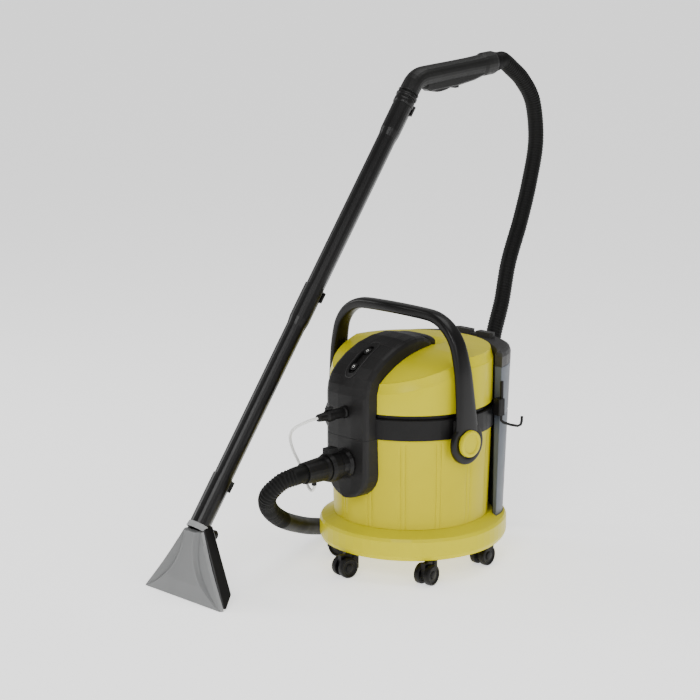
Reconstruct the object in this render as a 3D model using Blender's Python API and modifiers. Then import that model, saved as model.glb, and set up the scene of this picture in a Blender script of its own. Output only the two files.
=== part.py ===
"""Carpet cleaner: a wheeled spray and suction machine with its hose, wand and floor nozzle.

Lengths below are millimetres. The machine frame stands on the floor under the body axis: the front
(switches and hose inlet) faces -Y, the fresh-water tank is at +Y, +Z is up. SHIFT moves everything
so that the middle of the outline lies over the world origin.
"""

import math

import bmesh
import bpy
from mathutils import Matrix
from mathutils import Vector

MM = 0.001
GAP = 0.3

# Base tray
BASE_R = 186.0
BASE_REAR_R = 167.0
BASE_REAR_Y = 44.0
BASE_Z0 = 47.0
BASE_Z1 = 105.0
BASE_WALL = 5.0
SEAT_Z = 78.0

# Container
CONTAINER_R0 = 157.0
CONTAINER_R1 = 163.0
CONTAINER_Z1 = 289.0
CONTAINER_WALL = 3.0
GROOVE_PAIRS = 14
GROOVE_DEPTH = 0.9

# Head
BAND_R = 168.0
BAND_Z1 = 330.0
RIM_R = 161.0
RIM_Z1 = 351.0
HOOD_R = 165.0
HOOD_Z0 = 339.0
HOOD_WALL = 3.3
HOOD_TOP = 449.0
HOOD_BEVEL = 8.0
HOOD_CEILING = 414.0
CREASE_FRONT_Z = 378.0
CREASE_REAR_Z = 426.0

# Front panel and lower inlet housing
PANEL_Y = -186.0
PANEL_W = 57.0
PANEL_DEEP = 40.0
PANEL_EDGE = 9.0
INLET_Z = 236.0
INLET_BOTTOM_Z = 166.0
INLET_CORNER = 50.0
SPRAY_Z = 340.0

# Suction connection
SOCKET_R = 25.0
SOCKET_BORE = 19.5
CUFF_TUBE_R = 18.9
CUFF_END_Y = -300.0
HOSE_R = 18.0

# Carry handle
PIVOT_Y = -27.0
PIVOT_Z = 281.0
LUG_X0 = 172.5
LUG_X1 = 184.0
LUG_R = 43.0
HANDLE_TOP_Z = 527.0
HANDLE_TOP_Y = -41.0
HANDLE_HALF = 168.0
HANDLE_CORNER = 84.0
KNOB_R = 27.0
KNOB_X1 = 193.0
SHAFT_R = 8.0

# Fresh-water tank
TANK_R0 = 151.0
TANK_R1 = 160.0
TANK_Y0 = 56.0
TANK_Y1 = 60.0
TANK_IN_R = 169.0
TANK_FRONT_Y = 100.0
TANK_Z1 = 409.0
TANK_WALL = 2.6
CAP_Z1 = TANK_Z1 + 31.0

# Casters: swivel angle from the front, trail direction of the wheels, both in degrees
CASTER_R = 163.0
CASTER_TRAIL = 22.0
WHEEL_R = 21.0
WHEEL_T = 13.0
WHEEL_GAP = 5.4
AXLE_R = 3.0
STEM_R = 5.0
CASTERS = {
    "front": (0.0, -8.0),
    "right_front": (60.0, 10.0),
    "left_front": (-54.0, 100.0),
    "right_rear": (125.0, 5.0),
    "left_rear": (-125.0, -150.0),
}

# Wand: axis through WAND_FOOT, leaning WAND_LEAN degrees from upright towards the rear
WAND_X = -127.0
WAND_FOOT = (WAND_X, -427.7, 181.1)
WAND_LEAN = 35.8
TUBE_R = 18.2
TUBE_WALL = 2.3
TUBE_KEEL = 4.6
TUBE_PITCH = 438.0
SOCKET_LEN = 90.0
SOCKET_WALL = 1.8
SPIGOT_LEN = 54.0
TUBE_S0 = 40.0
GRIP_RISE = 4.7
GRIP_END = 236.0
GRIP_TIP = 15.0
GRIP_TIP_R = 18.8
ELBOW_S = TUBE_S0 + 2.0 * TUBE_PITCH + 52.0

# Floor nozzle
NOZZLE_W = 230.0
NOZZLE_LIP_Y = -506.0
NOZZLE_TOP_Z = 140.0
NOZZLE_SLOPE = 0.2207
NOZZLE_DEEP = 38.0
COVER_DEEP = 9.0

# Outline of the whole machine without its hoses
X_MAX = KNOB_X1
X_MIN = WAND_X - NOZZLE_W / 2.0
Y_MIN = NOZZLE_LIP_Y
Y_MAX = WAND_FOOT[1] + ELBOW_S * math.sin(math.radians(WAND_LEAN))
Y_MAX += (GRIP_END + GRIP_TIP) * math.cos(math.radians(GRIP_RISE))
Y_MAX += GRIP_TIP_R * math.sin(math.radians(GRIP_RISE))
SHIFT = Vector((-(X_MAX + X_MIN) / 2.0, -(Y_MAX + Y_MIN) / 2.0, 0.0))

YELLOW = (0.80, 0.66, 0.02)
CONTAINER_YELLOW = (0.72, 0.60, 0.015)
PANEL_GREY = (0.060, 0.058, 0.057)
BLACK = (0.012, 0.012, 0.012)
DARK = (0.028, 0.027, 0.026)
GREY = (0.33, 0.35, 0.37)
CLEAR = (0.45, 0.46, 0.47)
STEEL = (0.60, 0.60, 0.62)
WHITE = (0.80, 0.80, 0.78)

for old in list(bpy.data.objects):
    bpy.data.objects.remove(old)

PARTS = bpy.data.collections.new("carpet_cleaner")
CUTTERS = bpy.data.collections.new("cutters")
bpy.context.scene.collection.children.link(PARTS)
bpy.context.scene.collection.children.link(CUTTERS)


# ---------------------------------------------------------------- helpers


def dress(ob, finish):
    """File an object as a part with its own material, or as a cutter."""
    if finish is None:
        CUTTERS.objects.link(ob)
        ob.hide_render = True
        ob.display_type = "WIRE"
        return ob
    PARTS.objects.link(ob)
    mat = bpy.data.materials.new(ob.name)
    mat.use_nodes = True
    shader = mat.node_tree.nodes["Principled BSDF"]
    shader.inputs["Base Color"].default_value = (*finish[0], 1.0)
    shader.inputs["Roughness"].default_value = finish[1]
    if len(finish) > 2:
        shader.inputs["Metallic"].default_value = finish[2]
    mat.diffuse_color = (*finish[0], 1.0)
    ob.data.materials.append(mat)
    return ob


def place(ob, frame):
    """Set an object where a frame in machine millimetres says."""
    where, turn, _ = frame.decompose()
    ob.location = (where + SHIFT) * MM
    ob.rotation_euler = turn.to_euler()


def smooth(mesh):
    """Shade round, with the real edges kept sharp."""
    mesh.shade_smooth()
    mesh.set_sharp_from_angle(angle=math.radians(32))


def skin(name, rings, finish=None, loop=False, frame=None, pivot=(0.0, 0.0, 0.0)):
    """Loft through a row of unlike sections with equal point counts; one point is a pole."""
    bm = bmesh.new()
    frame = frame or Matrix.Identity(4)
    pivot = Vector(pivot)
    rows = [[bm.verts.new((frame @ Vector(p) - pivot) * MM) for p in ring] for ring in rings]
    pairs = list(zip(rows, rows[1:]))
    if loop:
        pairs.append((rows[-1], rows[0]))
    for a, b in pairs:
        count = max(len(a), len(b))
        for i in range(count):
            j = (i + 1) % count
            if len(a) == 1:
                bm.faces.new((a[0], b[j], b[i]))
            elif len(b) == 1:
                bm.faces.new((a[i], a[j], b[0]))
            else:
                bm.faces.new((a[i], a[j], b[j], b[i]))
    if not loop:
        for row in (rows[0], rows[-1]):
            if len(row) > 2:
                bm.faces.new(row)
    bmesh.ops.recalc_face_normals(bm, faces=bm.faces)
    mesh = bpy.data.meshes.new(name)
    bm.to_mesh(mesh)
    bm.free()
    smooth(mesh)
    ob = bpy.data.objects.new(name, mesh)
    ob.location = (pivot + SHIFT) * MM
    return dress(ob, finish)


def circle(r, z, count=64, x=0.0, y=0.0):
    """Ring of points round a vertical axis."""
    step = 2.0 * math.pi / count
    return [(x + r * math.cos(i * step), y + r * math.sin(i * step), z) for i in range(count)]


def lathe(name, profile, finish=None, count=24, loop=False, frame=None, origin=0.0):
    """Screw a (radius, height) profile round the frame's Z; origin is the height of the object origin."""
    frame = frame or Matrix.Identity(4)
    closed = profile[1:] + profile[:1]
    area = sum(r0 * z1 - r1 * z0 for (r0, z0), (r1, z1) in zip(profile, closed))
    if area > 0.0:
        profile = profile[::-1]
    bm = bmesh.new()
    verts = [bm.verts.new((r * MM, 0.0, (z - origin) * MM)) for r, z in profile]
    for a, b in zip(verts, verts[1:]):
        bm.edges.new((a, b))
    if loop:
        bm.edges.new((verts[-1], verts[0]))
    mesh = bpy.data.meshes.new(name)
    bm.to_mesh(mesh)
    bm.free()
    ob = bpy.data.objects.new(name, mesh)
    place(ob, frame @ Matrix.Translation((0.0, 0.0, origin)))
    screw = ob.modifiers.new("turn", "SCREW")
    screw.axis = "Z"
    screw.angle = 2.0 * math.pi
    screw.steps = count
    screw.render_steps = count
    screw.use_merge_vertices = True
    screw.merge_threshold = 0.00001
    return dress(ob, finish)


def pin_profile(r, z0, z1):
    """Profile of a plain round pin."""
    return [(0.0, z0), (r, z0), (r, z1), (0.0, z1)]


def move_origin(ob, point):
    """Put an object's origin on a point in machine millimetres without moving its shape."""
    frame = ob.matrix_basis.copy()
    target = Matrix.Translation((Vector(point) + SHIFT) * MM)
    ob.data.transform(target.inverted() @ frame)
    ob.matrix_basis = target


def box(name, low, high, finish=None, frame=None, chamfer=0.0):
    """Block between two corners of a frame, its upright edges bevelled when asked."""
    frame = frame or Matrix.Identity(4)
    low = Vector(low)
    high = Vector(high)
    bm = bmesh.new()
    bmesh.ops.create_cube(bm, size=MM)
    bmesh.ops.scale(bm, vec=high - low, verts=bm.verts)
    if chamfer > 0.0:
        upright = [e for e in bm.edges if abs(e.verts[0].co.z - e.verts[1].co.z) > 1e-6]
        bmesh.ops.bevel(bm, geom=upright, offset=chamfer * MM, segments=1, affect="EDGES")
    mesh = bpy.data.meshes.new(name)
    bm.to_mesh(mesh)
    bm.free()
    ob = bpy.data.objects.new(name, mesh)
    place(ob, frame @ Matrix.Translation((low + high) / 2.0))
    return dress(ob, finish)


def rod(name, points, r, finish, fine=1, origin=(0.0, 0.0, 0.0)):
    """Round bar, wire or hose: a poly curve with a bevel and filled caps."""
    origin = Vector(origin)
    curve = bpy.data.curves.new(name, "CURVE")
    curve.dimensions = "3D"
    curve.bevel_depth = r * MM
    curve.bevel_resolution = fine
    curve.use_fill_caps = True
    spline = curve.splines.new("POLY")
    spline.points.add(len(points) - 1)
    for knot, p in zip(spline.points, points):
        knot.co = (*((Vector(p) - origin) * MM), 1.0)
    ob = bpy.data.objects.new(name, curve)
    ob.location = (origin + SHIFT) * MM
    return dress(ob, finish)


def boolean(ob, cutter, operation="DIFFERENCE"):
    """Hang an exact boolean on an object."""
    mod = ob.modifiers.new(cutter.name, "BOOLEAN")
    mod.operation = operation
    mod.solver = "EXACT"
    mod.object = cutter
    return mod


def at(x, y, z):
    """Frame moved to a point."""
    return Matrix.Translation((x, y, z))


def along_y(x, y, z):
    """Frame whose local Z runs towards -Y, out of the front of the machine."""
    return at(x, y, z) @ Matrix.Rotation(math.radians(90.0), 4, "X")


def mix(a, b, t):
    """Straight blend between two numbers."""
    return a + (b - a) * t


# ---------------------------------------------------------------- base


def base_ring(inset, z, count=56):
    """Outline of the base: a front circle blended with a rear circle that carries the tank."""
    points = []
    for i in range(count):
        a = 2.0 * math.pi * i / count
        front = BASE_R - inset
        rear_r = BASE_REAR_R - inset
        side = BASE_REAR_Y * math.cos(a)
        rear = BASE_REAR_Y * math.sin(a) + math.sqrt(rear_r * rear_r - side * side)
        r = (front**40 + max(rear, 1.0) ** 40) ** (1.0 / 40.0)
        points.append((r * math.cos(a), r * math.sin(a), z))
    return points


def crescent(out_r, out_y, in_r, front_y, z, count=18):
    """Plan of the tank: outer arc round the rear, inner arc hugging the body, flat front ends."""
    points = []
    x1 = math.sqrt(out_r**2 - (front_y - out_y) ** 2)
    a1 = math.atan2(front_y - out_y, x1)
    for i in range(count + 1):
        a = mix(a1, math.pi - a1, i / count)
        points.append((out_r * math.cos(a), out_y + out_r * math.sin(a), z))
    x2 = math.sqrt(in_r**2 - front_y**2)
    a2 = math.atan2(front_y, x2)
    for i in range(count + 1):
        a = mix(math.pi - a2, a2, i / count)
        points.append((in_r * math.cos(a), in_r * math.sin(a), z))
    return points


def caster_frame(key):
    """Frame at a caster swivel: origin on the floor, local -Y is the trail direction."""
    turn, trail = CASTERS[key]
    a = math.radians(turn)
    spot = (CASTER_R * math.sin(a), -CASTER_R * math.cos(a), 0.0)
    return at(*spot) @ Matrix.Rotation(math.radians(trail), 4, "Z")


def make_base():
    outer = [(10.0, BASE_Z0), (3.0, 50.0), (0.0, 58.0), (0.0, 88.0), (3.0, 94.0), (28.0, BASE_Z1)]
    inner = [(9.0, 92.0 - 19.0), (BASE_WALL + 1.0, 60.0), (14.0, BASE_Z0)]
    rings = [base_ring(d, z) for d, z in reversed(outer)]
    rings += [base_ring(d, z) for d, z in reversed(inner)]
    base = skin("base", rings, (YELLOW, 0.35))
    well = []
    for r, z in ((140.0, 70.0), (140.0, 99.0), (136.0, 101.0)):
        well.append([(x, min(y, 88.0), z) for x, y, z in circle(r, z, 48)])
    boolean(base, skin("base_well", well))
    seat = [crescent(TANK_R0 + 1.2, TANK_Y0, TANK_IN_R - 1.2, TANK_FRONT_Y - 1.2, SEAT_Z)]
    seat.append(crescent(TANK_R0 + 2.4, TANK_Y0, TANK_IN_R - 1.2, TANK_FRONT_Y - 1.2, 112.0))
    boolean(base, skin("base_seat", seat))
    for key in CASTERS:
        spot = caster_frame(key).translation
        boss = lathe("boss_" + key, pin_profile(13.0, BASE_Z0 + 0.6, 75.0), None, 16, False, at(*spot))
        boolean(base, boss, "UNION")
    for key in CASTERS:
        spot = caster_frame(key).translation
        hole = lathe("hole_" + key, pin_profile(STEM_R + GAP, 40.0, 70.5), None, 18, False, at(*spot))
        boolean(base, hole)
    return base


def container_ring(r, z, grooved=True):
    """Circle with pairs of shallow upright grooves."""
    offsets = (-2.4, -1.75, -1.1, 1.1, 1.75, 2.4, 12.8)
    points = []
    for k in range(GROOVE_PAIRS):
        middle = 360.0 / GROOVE_PAIRS * (k + 0.5) - 90.0
        for n, off in enumerate(offsets):
            a = math.radians(middle + off)
            rr = r - (GROOVE_DEPTH if grooved and n in (1, 4) else 0.0)
            points.append((rr * math.cos(a), rr * math.sin(a), z))
    return points


def container_radius(z):
    """Outer radius of the container wall at a height."""
    z0 = BASE_Z1 + GAP
    return mix(CONTAINER_R0, CONTAINER_R1, (z - z0) / (CONTAINER_Z1 - z0))


def make_container():
    z0 = BASE_Z1 + GAP
    w = CONTAINER_WALL
    rings = [container_ring(CONTAINER_R0 - w, z0 + w, False)]
    rings.append(container_ring(CONTAINER_R1 - w, CONTAINER_Z1, False))
    rings.append(container_ring(CONTAINER_R1, CONTAINER_Z1, False))
    rings.append(container_ring(CONTAINER_R1, CONTAINER_Z1 - 7.0, False))
    rings.append(container_ring(container_radius(CONTAINER_Z1 - 9.0), CONTAINER_Z1 - 9.0))
    rings.append(container_ring(CONTAINER_R0, z0))
    container = skin("container", rings, (CONTAINER_YELLOW, 0.40))
    hole = lathe("container_inlet", pin_profile(SOCKET_R - 3.0 + GAP, 100.0, 180.0), None, 32,
                 False, along_y(0.0, 0.0, INLET_Z))
    boolean(container, hole)
    return container


# ---------------------------------------------------------------- head


def crease_z(y):
    """Height of the hood's lower crease, rising from the front to the middle."""
    t = min(max((y + 158.0) / 158.0, 0.0), 1.0)
    return mix(CREASE_FRONT_Z, CREASE_REAR_Z, t)


def hood_top(x, y):
    """Height of the hood's crowned top, with the finger scoop behind the switch arch."""
    r = math.hypot(x, y)
    rim = HOOD_R - HOOD_BEVEL
    edge = crease_z(y * HOOD_R / max(r, 1.0)) + 20.0
    z = HOOD_TOP - (HOOD_TOP - edge) * min(r / rim, 1.0) ** 2.6
    d = math.hypot(x / 46.0, (y - 50.0) / 40.0)
    if d < 1.0:
        z -= 14.0 * (1.0 - d * d) ** 2
    return z


def hood_rings(grow=0.0, count=48):
    """Outer rings of the hood from the bottom edge up to the top."""
    rings = [circle(HOOD_R + grow, HOOD_Z0 - grow, count)]
    rings.append([(x, y, crease_z(y)) for x, y, z in circle(HOOD_R + grow, 0.0, count)])
    for r in (157.0, 140.0, 116.0, 96.0, 80.0, 64.0, 48.0, 30.0, 14.0):
        ring = circle(r + grow, 0.0, count)
        rings.append([(x, y, hood_top(x, y) + 3.0 * grow) for x, y, z in ring])
    rings.append([(0.0, 0.0, hood_top(0.0, 0.0) + 3.0 * grow)])
    return rings


def make_hood():
    count = 48
    w = HOOD_WALL
    inside = [circle(HOOD_R - w, HOOD_Z0, count)]
    inside.append([(x, y, crease_z(y) - 2.0) for x, y, z in circle(HOOD_R - w, 0.0, count)])
    for r in (157.0 - w, 130.0, 112.0, 90.0):
        ring = circle(r, 0.0, count)
        inside.append([(x, y, min(hood_top(x, y) - w - 1.0, HOOD_CEILING)) for x, y, z in ring])
    rings = list(reversed(inside)) + hood_rings(0.0, count)
    return skin("hood", rings, (YELLOW, 0.30))


def make_head_base():
    z0 = CONTAINER_Z1 + GAP
    profile = [(20.0, z0 + 7.0), (RIM_R - 4.0, z0 + 7.0), (RIM_R - 4.0, RIM_Z1), (RIM_R, RIM_Z1)]
    profile += [(RIM_R, BAND_Z1 + 1.0), (BAND_R - 1.5, BAND_Z1 + 1.0), (BAND_R, BAND_Z1 - 1.0)]
    profile += [(BAND_R, z0 + 1.0), (BAND_R - 1.0, z0), (20.0, z0)]
    head = lathe("head_base", profile, (DARK, 0.45), 56, True)
    for side in (-1.0, 1.0):
        x0 = 164.6
        low = (min(side * x0, side * 171.8), PIVOT_Y - 24.0, PIVOT_Z - 26.0)
        high = (max(side * x0, side * 171.8), PIVOT_Y + 24.0, BAND_Z1 - 3.0)
        ear = box("ear_%d" % side, low, high)
        boolean(head, ear, "UNION")
        hole = lathe("ear_hole_%d" % side, pin_profile(SHAFT_R + GAP, 160.0, 176.0), None, 24,
                     False, at(0.0, PIVOT_Y, PIVOT_Z) @ Matrix.Rotation(side * math.radians(90.0), 4, "Y"))
        boolean(head, hole)
    return head


def panel_station(kind):
    """Centre-line of the front panel: (y, z, outward tilt, half width, depth)."""
    if kind == "upper":
        z0 = CONTAINER_Z1 + GAP * 2.0
        rows = [(PANEL_Y, z0, 0.0, PANEL_W, PANEL_DEEP), (PANEL_Y, 340.0, 0.0, PANEL_W, PANEL_DEEP)]
        rows.append((PANEL_Y, 374.0, 2.0, PANEL_W, PANEL_DEEP))
        rows.append((PANEL_Y + 2.5, 392.0, 14.0, PANEL_W, PANEL_DEEP))
        rows.append((-175.0, 410.0, 32.0, PANEL_W, PANEL_DEEP))
        rows.append((-159.0, 427.5, 46.0, PANEL_W, PANEL_DEEP))
        rows.append((-134.0, 445.5, 57.0, 56.5, PANEL_DEEP))
        rows.append((-100.0, 462.0, 68.0, 55.5, PANEL_DEEP))
        rows.append((-66.0, 471.5, 78.0, 53.0, PANEL_DEEP))
        rows.append((-35.0, 475.0, 90.0, 49.5, PANEL_DEEP))
        rows.append((-8.0, 471.5, 104.0, 45.0, 36.0))
        rows.append((14.0, 462.0, 116.0, 40.0, 19.0))
        rows.append((30.0, 450.5, 126.0, 33.0, 12.0))
        rows.append((38.0, 443.5, 130.0, 22.0, 7.0))
        return rows
    rows = []
    z1 = CONTAINER_Z1
    for z in (INLET_BOTTOM_Z, 168.0, 173.0, 181.0, 192.0, 204.0, 216.0, 250.0, z1):
        drop = max(INLET_BOTTOM_Z + INLET_CORNER - z, 0.0)
        w = PANEL_W - INLET_CORNER + math.sqrt(max(INLET_CORNER**2 - drop**2, 0.0))
        rows.append((PANEL_Y, z, 0.0, max(w, 14.0), PANEL_DEEP))
    return rows


def between(rows, u):
    """Station part-way along a row of stations."""
    k = min(int(u), len(rows) - 2)
    return tuple(mix(a, b, u - k) for a, b in zip(rows[k], rows[k + 1]))


def panel_ring(row, t0, t1=None, half=None, edge=PANEL_EDGE):
    """Section of the panel across one station, t counted inwards from the outer face."""
    y, z, tilt, w, deep = row
    t1 = deep if t1 is None else t1
    w = w if half is None else half
    e = min(edge, w * 0.5, (t1 - t0) * 0.7)
    bulge = -2.0 + t0
    local = [(-w, t1), (-w, t0 + e), (-w + 0.3 * e, t0 + 0.3 * e), (-w + e, t0), (-w / 3.0, bulge)]
    local += [(w / 3.0, bulge), (w - e, t0), (w - 0.3 * e, t0 + 0.3 * e), (w, t0 + e), (w, t1)]
    local += [(w / 3.0, t1), (-w / 3.0, t1)]
    a = math.radians(tilt)
    return [(x, y + t * math.cos(a), z - t * math.sin(a)) for x, t in local]


def body_cutter(name):
    """Everything the front panel sits on, grown by the fitting gap."""
    count = 48
    grow = 1.0 / math.cos(math.pi / count)
    rings = [circle((container_radius(150.0) + GAP) * grow, 150.0, count)]
    rings.append(circle((CONTAINER_R1 + GAP) * grow, CONTAINER_Z1 + 0.1, count))
    rings.append(circle((BAND_R + GAP) * grow, CONTAINER_Z1 + 0.2, count))
    rings.append(circle((BAND_R + GAP) * grow, HOOD_Z0 - GAP, count))
    return skin(name, rings + hood_rings(GAP))


def slope_frame(y, z, tilt):
    """Frame on the panel surface: local Z points out of the panel."""
    turn = Matrix.Rotation(math.radians(90.0 - tilt), 4, "X")
    return at(0.0, y, z) @ turn


SWITCHES = {"switch_suction": (-162.0, 427.0, 45.0), "switch_spray": (-124.0, 452.5, 60.0)}


def make_panel():
    rows = panel_station("upper")
    panel = skin("front_panel", [panel_ring(r, 0.0) for r in rows], (PANEL_GREY, 0.45))
    boolean(panel, body_cutter("panel_seat"))
    slot_rows = [between(rows, u) for u in (4.2, 5.1, 6.1, 6.8)]
    slot = skin("switch_slot", [panel_ring(r, -6.0, 5.0, 12.0, 1.0) for r in slot_rows])
    boolean(panel, slot)
    plate_rows = [between(rows, u) for u in (4.23, 5.1, 6.1, 6.77)]
    plate = skin("switch_plate", [panel_ring(r, 2.9, 4.6, 11.5, 0.5) for r in plate_rows], (BLACK, 0.25))
    for name, spot in SWITCHES.items():
        frame = slope_frame(*spot)
        boolean(panel, box(name + "_pocket", (-8.0, -9.0, -13.0), (8.0, 9.0, 9.0), frame=frame))
        boolean(plate, box(name + "_window", (-7.9, -8.9, -13.0), (7.9, 8.9, 9.0), frame=frame))
        make_switch(name, frame)
    hole = lathe("panel_spray_hole", pin_profile(8.0 + GAP, 165.0, 200.0), None, 24, False,
                 along_y(0.0, 0.0, SPRAY_Z))
    boolean(panel, hole)
    lower = skin("inlet_housing", [panel_ring(r, 0.0) for r in panel_station("lower")], (PANEL_GREY, 0.5))
    boolean(lower, body_cutter("housing_seat"))
    hole = lathe("housing_hole", pin_profile(SOCKET_R - 3.0 + GAP, 140.0, 220.0), None, 32,
                 False, along_y(0.0, 0.0, INLET_Z))
    boolean(lower, hole)


def make_switch(name, frame):
    rings = []
    for inset, z in ((0.0, -9.5), (0.0, -0.5), (1.2, 0.8)):
        x1 = 7.2 - inset
        y1 = 8.2 - inset
        c = 1.5
        plan = [(-x1 + c, -y1), (x1 - c, -y1), (x1, -y1 + c), (x1, y1 - c)]
        plan += [(x1 - c, y1), (-x1 + c, y1), (-x1, y1 - c), (-x1, -y1 + c)]
        rings.append([(x, y, z) for x, y in plan])
    skin(name, rings, (DARK, 0.3), False, frame, frame.translation)


# ---------------------------------------------------------------- inside the head


def make_inside():
    z0 = CONTAINER_Z1 + GAP + 7.0
    profile = [(22.0, z0 + GAP), (52.0, z0 + GAP), (52.0, z0 + 40.0), (49.0, z0 + 40.0), (49.0, z0 + 3.3)]
    profile.append((22.0, z0 + 3.3))
    lathe("fan_housing", profile, (STEEL, 0.4, 0.8), 32, True)
    lathe("fan", [(4.3, z0 + 8.0), (44.0, z0 + 8.0), (44.0, z0 + 24.0), (12.0, z0 + 28.0), (4.3, z0 + 28.0)],
          (STEEL, 0.35, 0.9), 24, True, None, z0 + 18.0)
    lathe("motor", [(0.0, z0 + 5.0), (4.0, z0 + 5.0), (4.0, z0 + 32.0), (14.0, z0 + 32.0), (14.0, z0 + 41.0),
                    (54.0, z0 + 41.0), (54.0, z0 + 48.0), (42.0, z0 + 50.0), (42.0, z0 + 105.0),
                    (16.0, z0 + 112.0), (0.0, z0 + 112.0)], (STEEL, 0.5, 0.6), 28)
    lathe("spray_pump", [(0.0, z0 + GAP), (22.0, z0 + GAP), (22.0, z0 + 46.0), (8.0, z0 + 48.0),
                         (8.0, z0 + 60.0), (0.0, z0 + 60.0)], (DARK, 0.6), 24, False, at(-98.0, 40.0, 0.0))
    top = CONTAINER_Z1
    cage = lathe("float_cage", [(0.0, top - 62.0), (30.0, top - 62.0), (30.0, top), (27.5, top),
                                (27.5, top - 59.0), (0.0, top - 59.0)], (BLACK, 0.6), 32)
    for i in range(3):
        turn = Matrix.Rotation(math.radians(60.0 * i), 4, "Z")
        slot = box("cage_slot_%d" % i, (-40.0, -5.0, top - 54.0), (40.0, 5.0, top - 12.0), None, turn)
        boolean(cage, slot)
    lathe("float", [(0.0, top - 58.5), (18.0, top - 58.5), (22.0, top - 54.0), (22.0, top - 34.0),
                    (16.0, top - 28.0), (0.0, top - 28.0)], (WHITE, 0.5), 20, False, None, top - 43.0)


# ---------------------------------------------------------------- carry handle


def make_handle():
    path = [(LUG_X0 + 7.0, PIVOT_Z + KNOB_R + 3.0)]
    path.append((LUG_X0 + 6.5, PIVOT_Z + 62.0))
    path.append((HANDLE_HALF + 9.0, 385.0))
    path.append((HANDLE_HALF + 8.0, 430.0))
    cx = HANDLE_HALF - HANDLE_CORNER
    cz = HANDLE_TOP_Z - HANDLE_CORNER
    for i in range(7):
        a = math.radians(15.0 * i)
        path.append((cx + HANDLE_CORNER * math.cos(a), cz + HANDLE_CORNER * math.sin(a)))
    path.append((cx * 0.5, HANDLE_TOP_Z + 1.5))
    path.append((0.0, HANDLE_TOP_Z + 2.0))
    points = path + [(-x, z) for x, z in reversed(path[:-1])]
    rings = []
    for k, (x, z) in enumerate(points):
        before = points[max(k - 1, 0)]
        after = points[min(k + 1, len(points) - 1)]
        tangent = Vector((after[0] - before[0], after[1] - before[1])).normalized()
        normal = Vector((tangent.y, -tangent.x))
        t = (z - PIVOT_Z) / (HANDLE_TOP_Z - PIVOT_Z)
        y = mix(PIVOT_Y, HANDLE_TOP_Y, t)
        wide = mix(31.0, 15.0, min(max((t - 0.1) / 0.9, 0.0), 1.0) ** 0.75)
        thick = mix(6.5, 11.0, min(max((t - 0.1) / 0.8, 0.0), 1.0))
        ring = []
        for i in range(12):
            a = 2.0 * math.pi * (i + 0.5) / 12
            u = math.copysign(abs(math.cos(a)) ** 0.7, math.cos(a)) * thick
            v = math.copysign(abs(math.sin(a)) ** 0.7, math.sin(a)) * wide
            ring.append((x + normal.x * u, y + v, z + normal.y * u))
        rings.append(ring)
    handle = skin("carry_handle", rings, (DARK, 0.4), False, None, (0.0, PIVOT_Y, PIVOT_Z))
    for side in (-1.0, 1.0):
        turn = at(0.0, PIVOT_Y, PIVOT_Z) @ Matrix.Rotation(side * math.radians(90.0), 4, "Y")
        lug = lathe("lug_%d" % side, [(0.0, LUG_X0), (LUG_R - 3.0, LUG_X0), (LUG_R, LUG_X0 + 2.5),
                                      (LUG_R, LUG_X1 - 2.5), (LUG_R - 3.0, LUG_X1), (0.0, LUG_X1)], None, 32,
                    False, turn)
        boolean(handle, lug, "UNION")
        bore = lathe("lug_bore_%d" % side, pin_profile(SHAFT_R + GAP, 150.0, 200.0), None, 24,
                     False, turn)
        boolean(handle, bore)
        name = "pivot_knob_right" if side > 0 else "pivot_knob_left"
        lathe(name, [(0.0, 166.0), (SHAFT_R, 166.0), (SHAFT_R, LUG_X1 + GAP), (KNOB_R, LUG_X1 + GAP),
                     (KNOB_R, KNOB_X1 - 2.5), (KNOB_R - 2.5, KNOB_X1), (0.0, KNOB_X1)], (YELLOW, 0.35), 32,
              False, turn)


# ---------------------------------------------------------------- tank


def tank_section(z, inset=0.0):
    """Tank plan at a height, moved inwards by an inset."""
    t = (z - SEAT_Z) / (TANK_Z1 - SEAT_Z)
    out_r = mix(TANK_R0, TANK_R1, t) - inset
    return crescent(out_r, mix(TANK_Y0, TANK_Y1, t), TANK_IN_R + inset, TANK_FRONT_Y + inset, z)


def make_tank():
    z0 = SEAT_Z + GAP
    w = TANK_WALL
    rings = [tank_section(z0 + w, w), tank_section(TANK_Z1, w), tank_section(TANK_Z1)]
    rings += [tank_section(z0 + 3.0), tank_section(z0, 2.0)]
    skin("fresh_tank", rings, (GREY, 0.25), False, None, (0.0, 195.0, z0))
    z1 = TANK_Z1 + GAP
    rings = [tank_section(z1 - 6.0, w + GAP), tank_section(z1, w + GAP), tank_section(z1)]
    rings += [tank_section(CAP_Z1 - 10.0), tank_section(CAP_Z1 - 3.0, 3.0), tank_section(CAP_Z1, 9.0)]
    cap = skin("tank_cap", rings, (PANEL_GREY, 0.4), False, None, (0.0, 195.0, z1))
    grip = box("cap_grip", (-52.0, 182.0, CAP_Z1 - 4.0), (52.0, 198.0, CAP_Z1 + 11.0), None, None, 5.0)
    boolean(cap, grip, "UNION")
    notch = box("cap_notch", (-9.0, 176.0, CAP_Z1 + 5.0), (9.0, 204.0, CAP_Z1 + 16.0))
    boolean(cap, notch)


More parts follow.
